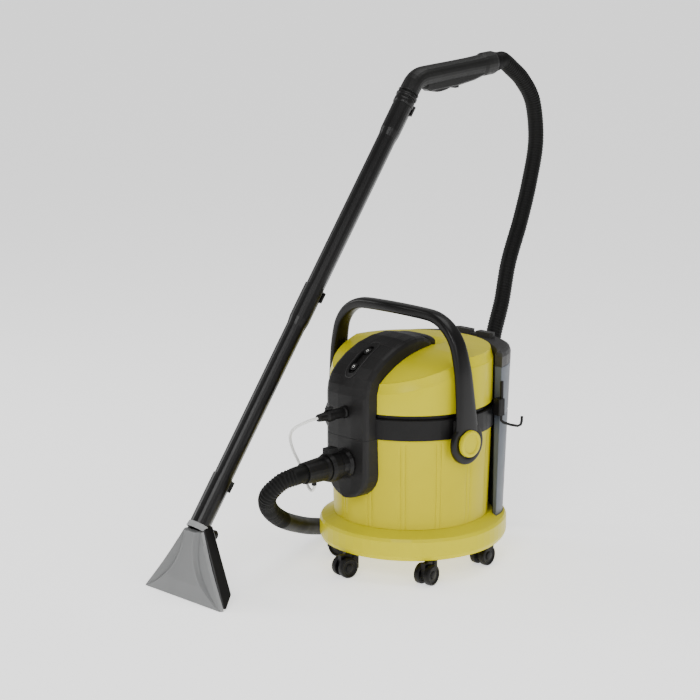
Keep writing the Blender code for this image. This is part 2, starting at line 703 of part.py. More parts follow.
def make_cable_hook():
    bracket = box("hook_bracket", (149.0, 81.0, 314.0), (168.0, 98.0, 348.0), (BLACK, 0.5), None, 2.5)
    boolean(bracket, body_cutter("bracket_seat"))
    post = lathe("bracket_post", pin_profile(3.4, 340.0, 384.0), None, 12, False, at(163.0, 92.0, 0.0))
    boolean(bracket, post, "UNION")
    x, y = 163.0, 92.0
    pts = [(x, y, 313.7), (x, y, 303.0), (x + 2.0, y + 5.0, 298.0), (x + 8.0, y + 19.0, 292.0)]
    pts += [(x + 14.0, y + 34.0, 288.0), (x + 15.0, y + 42.0, 289.5), (x + 14.0, y + 46.0, 296.0)]
    pts += [(x + 13.5, y + 47.0, 306.0)]
    rod("cable_hook", pts, 2.8, (BLACK, 0.45), 1, (x, y, 305.0))


# ---------------------------------------------------------------- casters


def make_caster(key):
    frame = caster_frame(key)
    trail = -CASTER_TRAIL
    axle = frame @ at(0.0, trail, WHEEL_R) @ Matrix.Rotation(math.radians(90.0), 4, "Y")
    swivel = frame.translation
    half = WHEEL_GAP - GAP
    low = (-half, trail - 13.0, WHEEL_R - 8.0)
    body = box("caster_" + key, low, (half, 9.0, BASE_Z0 - 1.0), (BLACK, 0.5), frame)
    move_origin(body, swivel)
    stem = lathe("stem_" + key, [(0.0, 37.5), (9.0, 37.5), (9.0, BASE_Z0 - GAP), (STEM_R, BASE_Z0 - GAP),
                                 (STEM_R, 69.0), (0.0, 69.0)], None, 16, False, frame)
    boolean(body, stem, "UNION")
    pin_x = WHEEL_GAP + WHEEL_T - 2.0
    profile = [(0.0, -pin_x), (AXLE_R, -pin_x), (AXLE_R, pin_x), (0.0, pin_x)]
    pin = lathe("pin_" + key, profile, None, 12, False, axle)
    boolean(body, pin, "UNION")
    x0 = WHEEL_GAP
    x1 = WHEEL_GAP + WHEEL_T
    profile = [(0.0, pin_x + GAP), (AXLE_R + GAP, pin_x + GAP), (AXLE_R + GAP, x0), (WHEEL_R - 1.5, x0)]
    profile += [(WHEEL_R, x0 + 1.5), (WHEEL_R, x1 - 3.0), (WHEEL_R - 3.0, x1), (0.0, x1)]
    for word, turn in (("r", 0.0), ("l", 180.0)):
        side = axle @ Matrix.Rotation(math.radians(turn), 4, "X")
        lathe("wheel_%s_%s" % (key, word), profile, (BLACK, 0.45), 20, False, side, (x0 + x1) / 2.0)


# ---------------------------------------------------------------- connections on the front


SPRAY_IN_Y = 271.0
PLUG_END_Y = -(-PANEL_Y + 2.0 + GAP + 33.0 + GAP + 40.0)


def make_connections():
    face = -PANEL_Y + 2.0 + GAP
    frame = along_y(0.0, 0.0, INLET_Z)
    tube_r = SOCKET_R - 3.0
    profile = [(SOCKET_BORE, 142.0), (tube_r, 142.0), (tube_r, face), (30.0, face), (31.0, face + 3.0)]
    profile += [(28.0, face + 10.0), (26.0, face + 25.0), (SOCKET_BORE, face + 25.0)]
    lathe("inlet_socket", profile, (DARK, 0.45), 24, True, frame)
    z0 = face + 25.0 + GAP
    profile = [(20.5, z0), (28.0, z0), (30.0, z0 + 3.0), (30.0, z0 + 20.0)]
    profile += [(27.0, z0 + 28.0), (20.5, z0 + 28.0)]
    ring = lathe("lock_ring", profile, (BLACK, 0.5), 24, True, frame, z0 + 14.0)
    tab = box("ring_tab", (-9.0, 24.0, z0 + 2.0), (9.0, 39.0, z0 + 26.0), None, frame)
    boolean(ring, tab, "UNION")
    end = -CUFF_END_Y
    profile = [(16.0, face + 4.0), (CUFF_TUBE_R, face + 4.0), (CUFF_TUBE_R, z0 + 28.0 + GAP)]
    profile += [(25.0, z0 + 28.0 + GAP), (25.5, z0 + 32.0), (24.0, z0 + 38.0), (24.0, z0 + 46.0)]
    profile += [(21.5, end - 4.0), (21.0, end), (16.0, end)]
    cuff = lathe("hose_cuff", profile, (BLACK, 0.5), 24, True, frame)
    boss = at(0.0, -SPRAY_IN_Y, INLET_Z) @ Matrix.Rotation(math.radians(180.0), 4, "X")
    profile = [(0.0, 18.5), (5.0, 18.5), (5.0, 29.0), (0.0, 29.0)]
    boolean(cuff, lathe("cuff_boss", profile, None, 16, False, boss), "UNION")
    frame = along_y(0.0, 0.0, SPRAY_Z)
    profile = [(0.0, 178.0), (8.0, 178.0), (8.0, face), (12.5, face), (12.5, face + 4.0), (10.5, face + 7.0)]
    profile += [(10.5, face + 33.0), (6.4, face + 33.0), (6.4, face + 20.0), (0.0, face + 20.0)]
    lathe("spray_socket", profile, (BLACK, 0.4), 24, False, frame)
    z0 = face + 33.0 + GAP
    profile = [(0.0, z0 - 12.0), (6.0, z0 - 12.0), (6.0, z0), (11.5, z0), (12.0, z0 + 3.0)]
    profile += [(12.0, z0 + 14.0), (9.0, z0 + 20.0), (7.5, z0 + 38.0), (6.0, z0 + 40.0), (0.0, z0 + 40.0)]
    plug = lathe("spray_plug", profile, (BLACK, 0.4), 20, False, frame, z0)
    ridge = box("plug_ridge", (-3.0, -z0 - 10.5, SPRAY_Z + 9.0), (3.0, -z0 - 7.5, SPRAY_Z + 13.1))
    boolean(plug, ridge, "UNION")
    top = SPRAY_Z + 13.4
    box("plug_lever", (-4.5, -z0 - 17.0, top), (4.5, -z0 - 1.0, top + 3.4), (DARK, 0.4), None, 1.0)


# ---------------------------------------------------------------- wand

WAND = at(*WAND_FOOT) @ Matrix.Rotation(-math.radians(WAND_LEAN), 4, "X")


def tube_ring(r, s, keel=TUBE_KEEL, count=24, width=7.2):
    """Round tube section with the spray channel as a keel on the underside."""
    points = []
    for x, y, z in circle(r, s, count):
        if keel > 0.0 and abs(x) < width and y > 0.0:
            y = r + keel
        points.append((x, y, z))
    return points


def make_tube(name, bottom, top):
    """Wand tube: plain lower end, widened socket with a stop at the upper end."""
    bore = TUBE_R - TUBE_WALL
    wide_in = TUBE_R + GAP
    wide_out = wide_in + SOCKET_WALL
    stop = top - SPIGOT_LEN - 1.0
    rings = [tube_ring(bore, bottom, 0.0), tube_ring(TUBE_R, bottom)]
    rings += [tube_ring(TUBE_R, top - SOCKET_LEN), tube_ring(wide_out, top - SOCKET_LEN + 16.0)]
    rings += [tube_ring(wide_out, top), tube_ring(wide_in, top)]
    rings += [tube_ring(wide_in, stop), tube_ring(bore, stop - 1.0, 0.0)]
    tube = skin(name, rings, (DARK, 0.35), True, WAND)
    return tube


def latch_at(tube, name, s):
    """Spring button in a pocket on the underside of a socket."""
    out = TUBE_R + GAP + SOCKET_WALL + TUBE_KEEL
    floor = TUBE_R + GAP + TUBE_KEEL + 0.6
    pad = box(name + "_pad", (-9.5, floor - 0.3, s - 13.0), (9.5, out + 3.2, s + 9.0), None, WAND)
    boolean(tube, pad, "UNION")
    boolean(tube, box(name + "_pocket", (-6.5, floor, s - 9.5), (6.5, out + 10.0, s + 5.5), None, WAND))
    box(name, (-6.0, floor + 1.6, s - 9.0), (6.0, out + 5.2, s + 5.0), (DARK, 0.4), WAND)


def grip_frame():
    """Frame at the elbow corner, local Z along the grip."""
    corner = WAND @ Vector((0.0, 0.0, ELBOW_S))
    return at(*corner) @ Matrix.Rotation(-math.radians(90.0 - GRIP_RISE), 4, "X")


def make_wand():
    low_top = TUBE_S0 + TUBE_PITCH
    high_top = low_top + TUBE_PITCH
    lower = make_tube("tube_lower", TUBE_S0 + 14.0 - SPIGOT_LEN, low_top)
    upper = make_tube("tube_upper", low_top - SPIGOT_LEN, high_top)
    for tube, name, s in ((lower, "latch_middle", low_top - 10.0), (upper, "latch_top", high_top - 10.0)):
        latch_at(tube, name, s)
    make_grip(high_top)


def make_grip(socket_top):
    """Elbow and hand grip in one shell, with a duct through it."""
    axis = grip_frame()
    outer = []
    inner = []
    bore = 14.2
    for s, r in ((socket_top - SPIGOT_LEN, TUBE_R), (socket_top + GAP, TUBE_R)):
        outer.append([WAND @ Vector(p) for p in tube_ring(r, s)])
        inner.append([WAND @ Vector(p) for p in tube_ring(bore, s, 0.0)])
    for s, r in ((socket_top + GAP + 0.1, 20.0), (socket_top + 8.0, 20.0), (socket_top + 9.0, 18.6),
                 (socket_top + 16.0, 18.6), (socket_top + 17.0, 20.4), (socket_top + 26.0, 20.6)):
        outer.append([WAND @ Vector(p) for p in tube_ring(r, s, 1.6)])
        inner.append([WAND @ Vector(p) for p in tube_ring(bore, s, 0.0)])
    bend = math.radians(90.0 - WAND_LEAN - GRIP_RISE)
    reach = 20.0
    radius = reach / math.tan(bend / 2.0)
    start = ELBOW_S - reach
    for i in range(1, 6):
        a = bend * i / 5
        turn = Matrix.Rotation(-a, 4, "X")
        centre = at(0.0, radius, start)
        frame = WAND @ centre @ turn @ at(0.0, -radius, 0.0)
        section = grip_ring(mix(20.6, 21.0, i / 5), mix(20.6, 21.5, i / 5), 0.0)
        outer.append([frame @ Vector(p) for p in section])
        inner.append([frame @ Vector(p) for p in tube_ring(bore, 0.0, 0.0)])
    stations = [(60.0, 19.0, 21.5), (110.0, 18.5, 21.0), (160.0, 18.5, 21.0), (195.0, 19.5, 22.0)]
    stations += [(203.0, 22.5, 25.0), (GRIP_END - 6.0, 22.5, 25.0), (GRIP_END, 21.0, 23.5)]
    for z, w, h in stations:
        outer.append([axis @ Vector(p) for p in grip_ring(w, h, z)])
        inner.append([axis @ Vector(p) for p in tube_ring(bore, z, 0.0)])
    grip = skin("grip", outer + list(reversed(inner)), (PANEL_GREY, 0.45), True)
    keel = ((24.0, 26.0), (34.0, 33.0), (110.0, 33.0), (170.0, 28.0), (200.0, 22.0))
    belly = [grip_block(z, low) for z, low in keel]
    boolean(grip, skin("grip_belly", belly, None, False, axis), "UNION")
    boolean(grip, box("trigger_slot", (-9.5, 17.5, 32.0), (9.5, 50.0, 104.0), None, axis))
    pivot = axis @ Vector((0.0, 25.0, 38.0))
    rings = []
    lever = ((34.0, 22.0, 29.0), (42.0, 21.5, 33.0), (60.0, 24.5, 35.5), (84.0, 26.0, 35.0))
    lever += ((99.0, 26.5, 33.0),)
    for z, t0, t1 in lever:
        ring = [(-9.0, t0, z), (9.0, t0, z), (9.0, t1 - 3.0, z)]
        rings.append(ring + [(5.0, t1, z), (-5.0, t1, z), (-9.0, t1 - 3.0, z)])
    skin("trigger", rings, (BLACK, 0.4), False, axis, pivot)
    core = axis @ at(0.0, 0.0, GRIP_END)
    profile = [(13.8, GAP), (20.0, GAP), (20.0, 10.0), (GRIP_TIP_R, GRIP_TIP), (13.8, GRIP_TIP)]
    lathe("grip_hose_end", profile, (BLACK, 0.5), 24, True, core)
    boolean(grip, box("lock_slot", (-7.3, 27.0, 110.7), (7.3, 45.0, 127.3), None, axis))
    box("trigger_lock", (-7.0, 27.5, 111.0), (7.0, 36.5, 121.0), (DARK, 0.4), axis)


def grip_ring(w, h, z, count=24):
    """Hand grip section: flattened at the sides, round on top."""
    points = []
    for i in range(count):
        a = 2.0 * math.pi * i / count
        points.append((w * math.cos(a), h * math.sin(a), z))
    return points


def grip_block(z, low):
    """Keel under the grip that carries the trigger."""
    ring = [(-12.5, 15.5, z), (12.5, 15.5, z), (12.5, low - 4.0, z)]
    return ring + [(8.0, low, z), (-8.0, low, z), (-12.5, low - 4.0, z)]


# ---------------------------------------------------------------- floor nozzle


def nozzle_ring(z, front, back, inset=0.0):
    """Plan of the nozzle at a height; front and back count rearwards from the sloped front face."""
    w = mix(NOZZLE_W / 2.0, 19.5, z / NOZZLE_TOP_Z) - inset
    face = NOZZLE_LIP_Y + NOZZLE_SLOPE * z
    deep = mix(NOZZLE_DEEP, 34.0, z / NOZZLE_TOP_Z)
    y0 = face + front
    y1 = face + min(back, deep)
    c = 2.0
    x = WAND_X
    plan = [(x - w + c, y0), (x + w - c, y0), (x + w, y0 + c), (x + w, y1 - c)]
    plan += [(x + w - c, y1), (x - w + c, y1), (x - w, y1 - c), (x - w, y0 + c)]
    return [(px, py, z) for px, py in plan]


def make_nozzle():
    top = NOZZLE_TOP_Z
    split = COVER_DEEP
    cover = skin("nozzle_cover", [nozzle_ring(0.0, 0.0, split), nozzle_ring(top - 9.0, 0.0, split)],
                 (CLEAR, 0.2))
    rings = [nozzle_ring(-5.0, 2.6, split + 6.0, 3.0), nozzle_ring(top - 14.0, 2.6, split + 6.0, 3.0)]
    hollow = skin("cover_hollow", rings)
    boolean(cover, hollow)
    rings = [nozzle_ring(3.0, split + GAP, split + 9.0), nozzle_ring(22.0, split + GAP, 99.0)]
    rings.append(nozzle_ring(top - 4.0, split + GAP, 99.0))
    back = skin("nozzle_back", rings, (BLACK, 0.5))
    hollow = skin("back_hollow", [nozzle_ring(-5.0, split - 6.0, split + 3.0, 3.0),
                                  nozzle_ring(24.0, split - 6.0, NOZZLE_DEEP - 4.0, 3.0),
                                  nozzle_ring(top - 16.0, split - 6.0, 29.0, 3.0)])
    boolean(back, hollow)
    s1 = TUBE_S0 + 14.0
    wide = TUBE_R + GAP + SOCKET_WALL
    sleeve = skin("nozzle_sleeve", [tube_ring(wide, -62.0), tube_ring(wide, s1)], None, False, WAND)
    boolean(back, sleeve, "UNION")
    s = s1 - 10.0
    out = wide + TUBE_KEEL
    pad = box("latch_low_pad", (-9.5, TUBE_R + 1.0, s - 13.0), (9.5, out + 3.2, s + 9.0), None, WAND)
    boolean(back, pad, "UNION")
    rings = [tube_ring(TUBE_R - TUBE_WALL, -78.0, 0.0), tube_ring(TUBE_R - TUBE_WALL, -1.2, 0.0)]
    duct = skin("nozzle_duct", rings, None, False, WAND)
    boolean(back, duct)
    rings = [tube_ring(TUBE_R + GAP, -1.3), tube_ring(TUBE_R + GAP, s1 + 4.0)]
    seat = skin("nozzle_seat", rings, None, False, WAND)
    boolean(back, seat)
    floor = TUBE_R + GAP + TUBE_KEEL + 0.6
    boolean(back, box("latch_low_pocket", (-6.5, floor, s - 9.5), (6.5, out + 10.0, s + 5.5), None, WAND))
    box("latch_bottom", (-6.0, floor + 1.6, s - 9.0), (6.0, out + 5.2, s + 5.0), (DARK, 0.4), WAND)
    jet_frame = at(WAND_X, -438.0, 116.0) @ Matrix.Rotation(math.radians(-110.0), 4, "X")
    profile = [(0.0, 0.0), (7.0, 0.0), (7.0, 12.0), (10.0, 12.0), (10.0, 20.0), (4.0, 24.0), (0.0, 24.0)]
    lathe("spray_jet", profile, (DARK, 0.45), 20, False, jet_frame)


# ---------------------------------------------------------------- cords


def smooth_path(points, step, lead):
    """Evenly spaced points on a smooth curve through hand-chosen ones, square to both ends."""
    pts = [Vector(p) for p in points]
    first = (pts[1] - pts[0]).normalized() * lead
    last = (pts[-2] - pts[-1]).normalized() * lead
    full = [pts[0] * 2.0 - pts[1]] + pts + [pts[-1] * 2.0 - pts[-2]]
    dense = []
    for k in range(1, len(full) - 2):
        p0, p1, p2, p3 = full[k - 1 : k + 3]
        for i in range(40):
            t = i / 40
            a = p1 * 2.0 + (p2 - p0) * t
            b = (p0 * 2.0 - p1 * 5.0 + p2 * 4.0 - p3) * t * t
            c = (p1 * 3.0 - p0 - p2 * 3.0 + p3) * t**3
            dense.append((a + b + c) * 0.5)
    dense.append(pts[-1])
    total = sum((b - a).length for a, b in zip(dense, dense[1:]))
    count = max(round(total / step), 2)
    out = [pts[0], pts[0] + first]
    walked = 0.0
    gap = total / count
    for a, b in zip(dense, dense[1:]):
        walked += (b - a).length
        if walked >= gap * (len(out) - 1) - 1e-6 and len(out) <= count:
            out.append(b)
    return out + [pts[-1] + last, pts[-1]]


HOSE_ROUTE = [
    (0.0, CUFF_END_Y - GAP, INLET_Z),
    (0.0, CUFF_END_Y - 8.0, INLET_Z),
    (-3.0, CUFF_END_Y - 26.0, INLET_Z - 3.0),
    (-12.0, -345.0, 226.0),
    (-30.0, -361.0, 203.0),
    (-50.0, -350.0, 178.0),
    (-80.0, -312.0, 145.0),
    (-112.0, -255.0, 110.0),
    (-150.0, -180.0, 76.0),
    (-190.0, -95.0, 44.0),
    (-220.0, -15.0, 23.0),
    (-232.0, 80.0, 19.0),
    (-212.0, 165.0, 19.0),
    (-165.0, 228.0, 24.0),
    (-112.0, 262.0, 60.0),
    (-84.0, 276.0, 130.0),
    (-76.0, 290.0, 230.0),
    (-76.0, 315.0, 330.0),
    (-80.0, 338.0, 408.0),
    (-88.0, 371.0, 474.0),
    (-96.0, 400.0, 555.0),
    (-106.0, 448.0, 640.0),
    (-115.0, 487.0, 723.0),
    (-121.0, 512.0, 808.0),
    (-124.0, 503.0, 893.0),
    (-126.0, 470.0, 942.0),
    (-127.0, 436.0, 969.0),
]

SPRAY_ROUTE = [
    (0.0, PLUG_END_Y - GAP, SPRAY_Z),
    (0.0, PLUG_END_Y - 5.0, SPRAY_Z),
    (-6.0, -284.0, 336.0),
    (-26.0, -298.0, 322.0),
    (-48.0, -290.0, 300.0),
    (-54.0, -278.0, 272.0),
    (-46.0, -270.0, 246.0),
    (-34.0, -268.0, 222.0),
    (-20.0, -269.0, 201.0),
    (-7.0, -271.0, 194.0),
    (0.0, -271.0, INLET_Z - 34.0),
    (0.0, -271.0, INLET_Z - 29.0 - GAP),
]


def make_cords():
    end = grip_frame() @ Vector((0.0, 0.0, GRIP_END + GRIP_TIP + GAP))
    lead = grip_frame() @ Vector((0.0, 0.0, GRIP_END + 32.0))
    route = HOSE_ROUTE + [tuple(lead), tuple(end)]
    rod("suction_hose", smooth_path(route, 46.0, 6.0), HOSE_R, (BLACK, 0.6), 2)
    rod("spray_hose", smooth_path(SPRAY_ROUTE, 9.0, 2.0), 2.8, (WHITE, 0.4), 1)


make_base()
make_container()
make_head_base()
make_hood()
make_panel()
make_inside()
make_handle()
make_tank()
make_cable_hook()
for caster in CASTERS:
    make_caster(caster)
make_connections()
make_wand()
make_nozzle()
make_cords()
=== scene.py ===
"""Carpet cleaner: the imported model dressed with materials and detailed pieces, lit as in a plain studio."""

import math

import bmesh
import bpy
from mathutils import Matrix
from mathutils import Vector

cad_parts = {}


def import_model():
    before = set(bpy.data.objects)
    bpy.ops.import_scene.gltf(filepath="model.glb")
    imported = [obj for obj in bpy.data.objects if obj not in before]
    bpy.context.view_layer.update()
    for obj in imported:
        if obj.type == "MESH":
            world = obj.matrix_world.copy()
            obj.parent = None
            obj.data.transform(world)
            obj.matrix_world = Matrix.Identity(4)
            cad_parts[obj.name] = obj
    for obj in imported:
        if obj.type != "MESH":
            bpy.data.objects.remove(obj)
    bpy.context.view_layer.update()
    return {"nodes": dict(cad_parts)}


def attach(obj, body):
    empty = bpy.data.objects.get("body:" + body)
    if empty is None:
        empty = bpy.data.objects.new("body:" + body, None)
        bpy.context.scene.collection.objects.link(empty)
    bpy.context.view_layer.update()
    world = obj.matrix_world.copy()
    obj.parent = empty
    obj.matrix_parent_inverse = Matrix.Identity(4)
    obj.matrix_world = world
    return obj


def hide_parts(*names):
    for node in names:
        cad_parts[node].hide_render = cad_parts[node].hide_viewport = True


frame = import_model()
NODES = frame["nodes"]

MM = 0.001
SHIFT = Vector((24.5, 57.88, 0.0))


def world(p):
    """A point in machine millimetres as metres in the row frame."""
    return (Vector(p) + SHIFT) * MM


# ---------------------------------------------------------------- camera and light

camera = bpy.data.objects.new("camera", bpy.data.cameras.new("camera"))
bpy.context.scene.collection.objects.link(camera)
camera.data.sensor_width = 36.0
camera.data.lens = 107.95
camera.data.clip_end = 200.0
camera.location = (2.9004, -2.9202, 1.340)
camera.rotation_euler = Vector((-0.6994, 0.6821, -0.2134)).to_track_quat("-Z", "Y").to_euler()
bpy.context.scene.camera = camera


def lamp(name, where, aim, size, power):
    """Soft box at a place, turned to a point."""
    data = bpy.data.lights.new(name, "AREA")
    data.shape = "RECTANGLE"
    data.size, data.size_y = size
    data.energy = power
    ob = bpy.data.objects.new(name, data)
    bpy.context.scene.collection.objects.link(ob)
    ob.location = where
    ob.rotation_euler = (Vector(aim) - Vector(where)).to_track_quat("-Z", "Y").to_euler()


lamp("key", (1.9, -3.1, 2.6), (0.0, 0.0, 0.4), (1.4, 1.4), 60.0)
lamp("side", (-2.8, -1.4, 1.8), (0.0, 0.0, 0.4), (1.0, 1.8), 32.0)
lamp("top", (0.4, 0.8, 3.4), (0.0, 0.0, 0.3), (2.2, 2.2), 42.0)
lamp("fill", (3.2, -1.0, 1.6), (0.1, 0.1, 0.3), (1.2, 1.8), 24.0)

sky = bpy.data.worlds.new("studio")
sky.use_nodes = True
sky.node_tree.nodes["Background"].inputs["Color"].default_value = (1.0, 1.0, 1.0, 1.0)
sky.node_tree.nodes["Background"].inputs["Strength"].default_value = 0.4
bpy.context.scene.world = sky


# ---------------------------------------------------------------- materials


def linear(rgb):
    """sRGB 0-255 to linear."""
    out = []
    for c in rgb:
        c /= 255.0
        out.append(c / 12.92 if c <= 0.04045 else ((c + 0.055) / 1.055) ** 2.4)
    return (*out, 1.0)


CLOUD_SCALE = 9.0
MARK_SCALE = 38.0
# Pointiness bands and strengths for the painted edge highlight and the painted crevice shade.
EDGE_POINTY = (0.52, 0.62)
CREVICE_POINTY = (0.36, 0.48)
CREVICE_SHADE = 0.45
EDGE_GREY = 0.5
GRAIN_DEPTH = 0.0004


def plastic(name, rgb, rough=0.4, grain=0.0, scale=900.0, cloud=0.06, metal=0.0, clear=0.0, edge=0.12,
            shine=0.5, glow=0.0):
    """Moulded plastic: soft colour drift, moulding grain, handling marks in the gloss, a painted highlight
    on edges and painted shade in crevices."""
    mat = bpy.data.materials.new(name)
    mat.use_nodes = True
    tree = mat.node_tree
    shader = tree.nodes["Principled BSDF"]
    link = tree.links.new
    place = tree.nodes.new("ShaderNodeTexCoord")

    def noise(size, detail):
        node = tree.nodes.new("ShaderNodeTexNoise")
        node.inputs["Scale"].default_value = size
        node.inputs["Detail"].default_value = detail
        link(place.outputs["Object"], node.inputs["Vector"])
        return node

    base = linear(rgb)
    ramp = tree.nodes.new("ShaderNodeValToRGB")
    ramp.color_ramp.elements[0].position = 0.3
    ramp.color_ramp.elements[1].position = 0.7
    ramp.color_ramp.elements[0].color = (*[c * (1.0 - cloud) for c in base[:3]], 1.0)
    ramp.color_ramp.elements[1].color = (*[min(c * (1.0 + cloud), 1.0) for c in base[:3]], 1.0)
    link(noise(CLOUD_SCALE, 3.0).outputs["Fac"], ramp.inputs["Fac"])
    # Painted highlight: pale grey screened onto sharp edges, where light catches them.
    pointy = tree.nodes.new("ShaderNodeNewGeometry")
    edge_highlight = tree.nodes.new("ShaderNodeMapRange")
    edge_highlight.inputs["From Min"].default_value, edge_highlight.inputs["From Max"].default_value = EDGE_POINTY
    edge_highlight.inputs["To Max"].default_value = edge
    link(pointy.outputs["Pointiness"], edge_highlight.inputs["Value"])
    pale = tree.nodes.new("ShaderNodeMixRGB")
    pale.blend_type = "SCREEN"
    pale.inputs["Color2"].default_value = (EDGE_GREY, EDGE_GREY, EDGE_GREY, 1.0)
    link(edge_highlight.outputs["Result"], pale.inputs["Fac"])
    link(ramp.outputs["Color"], pale.inputs["Color1"])
    # Painted shade: colour darkened in crevices, where shade falls.
    crevice = tree.nodes.new("ShaderNodeMapRange")
    crevice.inputs["From Min"].default_value = CREVICE_POINTY[0]
    crevice.inputs["From Max"].default_value = CREVICE_POINTY[1]
    crevice.inputs["To Min"].default_value = CREVICE_SHADE
    link(pointy.outputs["Pointiness"], crevice.inputs["Value"])
    shade = tree.nodes.new("ShaderNodeMixRGB")
    shade.blend_type = "MULTIPLY"
    shade.inputs["Fac"].default_value = 1.0
    link(pale.outputs["Color"], shade.inputs["Color1"])
    link(crevice.outputs["Result"], shade.inputs["Color2"])
    link(shade.outputs["Color"], shader.inputs["Base Color"])
    gloss = tree.nodes.new("ShaderNodeMapRange")
    gloss.inputs["To Min"].default_value = rough * 0.82
    gloss.inputs["To Max"].default_value = rough * 1.2
    link(noise(MARK_SCALE, 4.0).outputs["Fac"], gloss.inputs["Value"])
    link(gloss.outputs["Result"], shader.inputs["Roughness"])
    if grain > 0.0:
        bump = tree.nodes.new("ShaderNodeBump")
        bump.inputs["Strength"].default_value = grain
        bump.inputs["Distance"].default_value = GRAIN_DEPTH
        link(noise(scale, 2.0).outputs["Fac"], bump.inputs["Height"])
        link(bump.outputs["Normal"], shader.inputs["Normal"])
    shader.inputs["Metallic"].default_value = metal
    shader.inputs["Specular IOR Level"].default_value = shine
    shader.inputs["Emission Color"].default_value = (1.0, 1.0, 1.0, 1.0)
    shader.inputs["Emission Strength"].default_value = glow
    if clear > 0.0:
        shader.inputs["Transmission Weight"].default_value = clear
        shader.inputs["IOR"].default_value = 1.2
    return mat


YELLOW = plastic("yellow_gloss", (204, 193, 0), 0.3, 0.05, 500.0, 0.03, edge=0.0, shine=0.14)
CONTAINER = plastic("yellow_container", (200, 187, 0), 0.36, 0.08, 500.0, 0.04, edge=0.0, shine=0.12)
BLACK = plastic("black_plastic", (7, 6, 6), 0.45, 0.25, 1200.0, 0.1, edge=0.01, shine=0.22)
DARK = plastic("dark_gloss", (9, 8, 8), 0.32, 0.08, 700.0, 0.08, edge=0.01, shine=0.25)
PANEL = plastic("panel_grey", (19, 18, 18), 0.45, 0.5, 1500.0, 0.06, edge=0.02, shine=0.22)
CAP = plastic("cap_grey", (40, 39, 39), 0.48, 0.45, 1500.0, 0.06, edge=0.03, shine=0.35)
TANK = plastic("tank_grey", (86, 92, 100), 0.42, 0.06, 400.0, 0.05, edge=0.05, shine=0.18)
# The clear cover's edge setting of 0.5 paints a strong highlight along its edges.
CLEAR = plastic("clear_plastic", (130, 131, 131), 0.22, 0.03, 300.0, 0.05, clear=0.12, edge=0.5, shine=0.4)
STEEL = plastic("steel", (150, 150, 148), 0.3, 0.2, 800.0, 0.05, metal=1.0)
WHITE = plastic("white_plastic", (238, 238, 234), 0.35, 0.08, 900.0, 0.02)
RUBBER = plastic("hose_black", (7, 7, 6), 0.5, 0.15, 1400.0, 0.08, edge=0.03, shine=0.14)
GRIP = plastic("grip_grey", (17, 17, 16), 0.4, 0.35, 1600.0, 0.06, edge=0.02, shine=0.25)

FINISH = {
    "base": YELLOW, "container": CONTAINER, "head_base": BLACK, "hood": YELLOW, "front_panel": PANEL,
    "inlet_housing": PANEL, "switch_plate": BLACK, "switch_suction": BLACK, "switch_spray": DARK,
    "fan_housing": BLACK, "fan": BLACK, "motor": STEEL, "spray_pump": WHITE, "float_cage": BLACK,
    "float": WHITE, "carry_handle": DARK, "pivot_knob_left": YELLOW, "pivot_knob_right": YELLOW,
    "fresh_tank": TANK, "tank_cap": CAP, "hook_bracket": BLACK, "cable_hook": BLACK,
    "inlet_socket": DARK, "lock_ring": BLACK, "hose_cuff": BLACK, "spray_socket": BLACK,
    "spray_plug": BLACK, "plug_lever": DARK, "tube_lower": DARK, "tube_upper": DARK,
    "latch_bottom": DARK, "latch_middle": DARK, "latch_top": DARK, "grip": GRIP, "trigger": BLACK,
    "trigger_lock": DARK, "grip_hose_end": BLACK, "nozzle_cover": CLEAR, "nozzle_back": DARK,
    "spray_jet": DARK, "suction_hose": RUBBER, "spray_hose": WHITE,
}


def round_off(ob, angle=32.0):
    """Shade round with the real edges kept crisp."""
    ob.data.shade_smooth()
    ob.data.set_sharp_from_angle(angle=math.radians(angle))


for name, node in NODES.items():
    mat = FINISH.get(name, BLACK)
    node.data.materials.clear()
    node.data.materials.append(mat)
    round_off(node)

# ---------------------------------------------------------------- floor

FLOOR_HALF = 60.0
FLOOR_DROP = 0.0005
floor = bmesh.new()
bmesh.ops.create_grid(floor, x_segments=2, y_segments=2, size=FLOOR_HALF)
mesh = bpy.data.meshes.new("floor")
floor.to_mesh(mesh)
floor.free()
ground = bpy.data.objects.new("floor", mesh)
ground.location = (0.0, 0.0, -FLOOR_DROP)
bpy.context.scene.collection.objects.link(ground)
PAPER = plastic("floor_white", (252, 252, 252), 0.9, 0.0, 100.0, 0.004, edge=0.0, shine=0.1, glow=1.0)
mesh.materials.append(PAPER)


# ---------------------------------------------------------------- shape helpers


def finish_piece(ob, body, mat, nodes=(), angle=32.0):
    """Put a piece in the scene: its material, the body it moves with and the nodes it stands for."""
    bpy.context.scene.collection.objects.link(ob)
    ob.data.materials.append(mat)
    if ob.type == "MESH":
        round_off(ob, angle)
    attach(ob, body)
    if nodes:
        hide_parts(*nodes)
    return ob


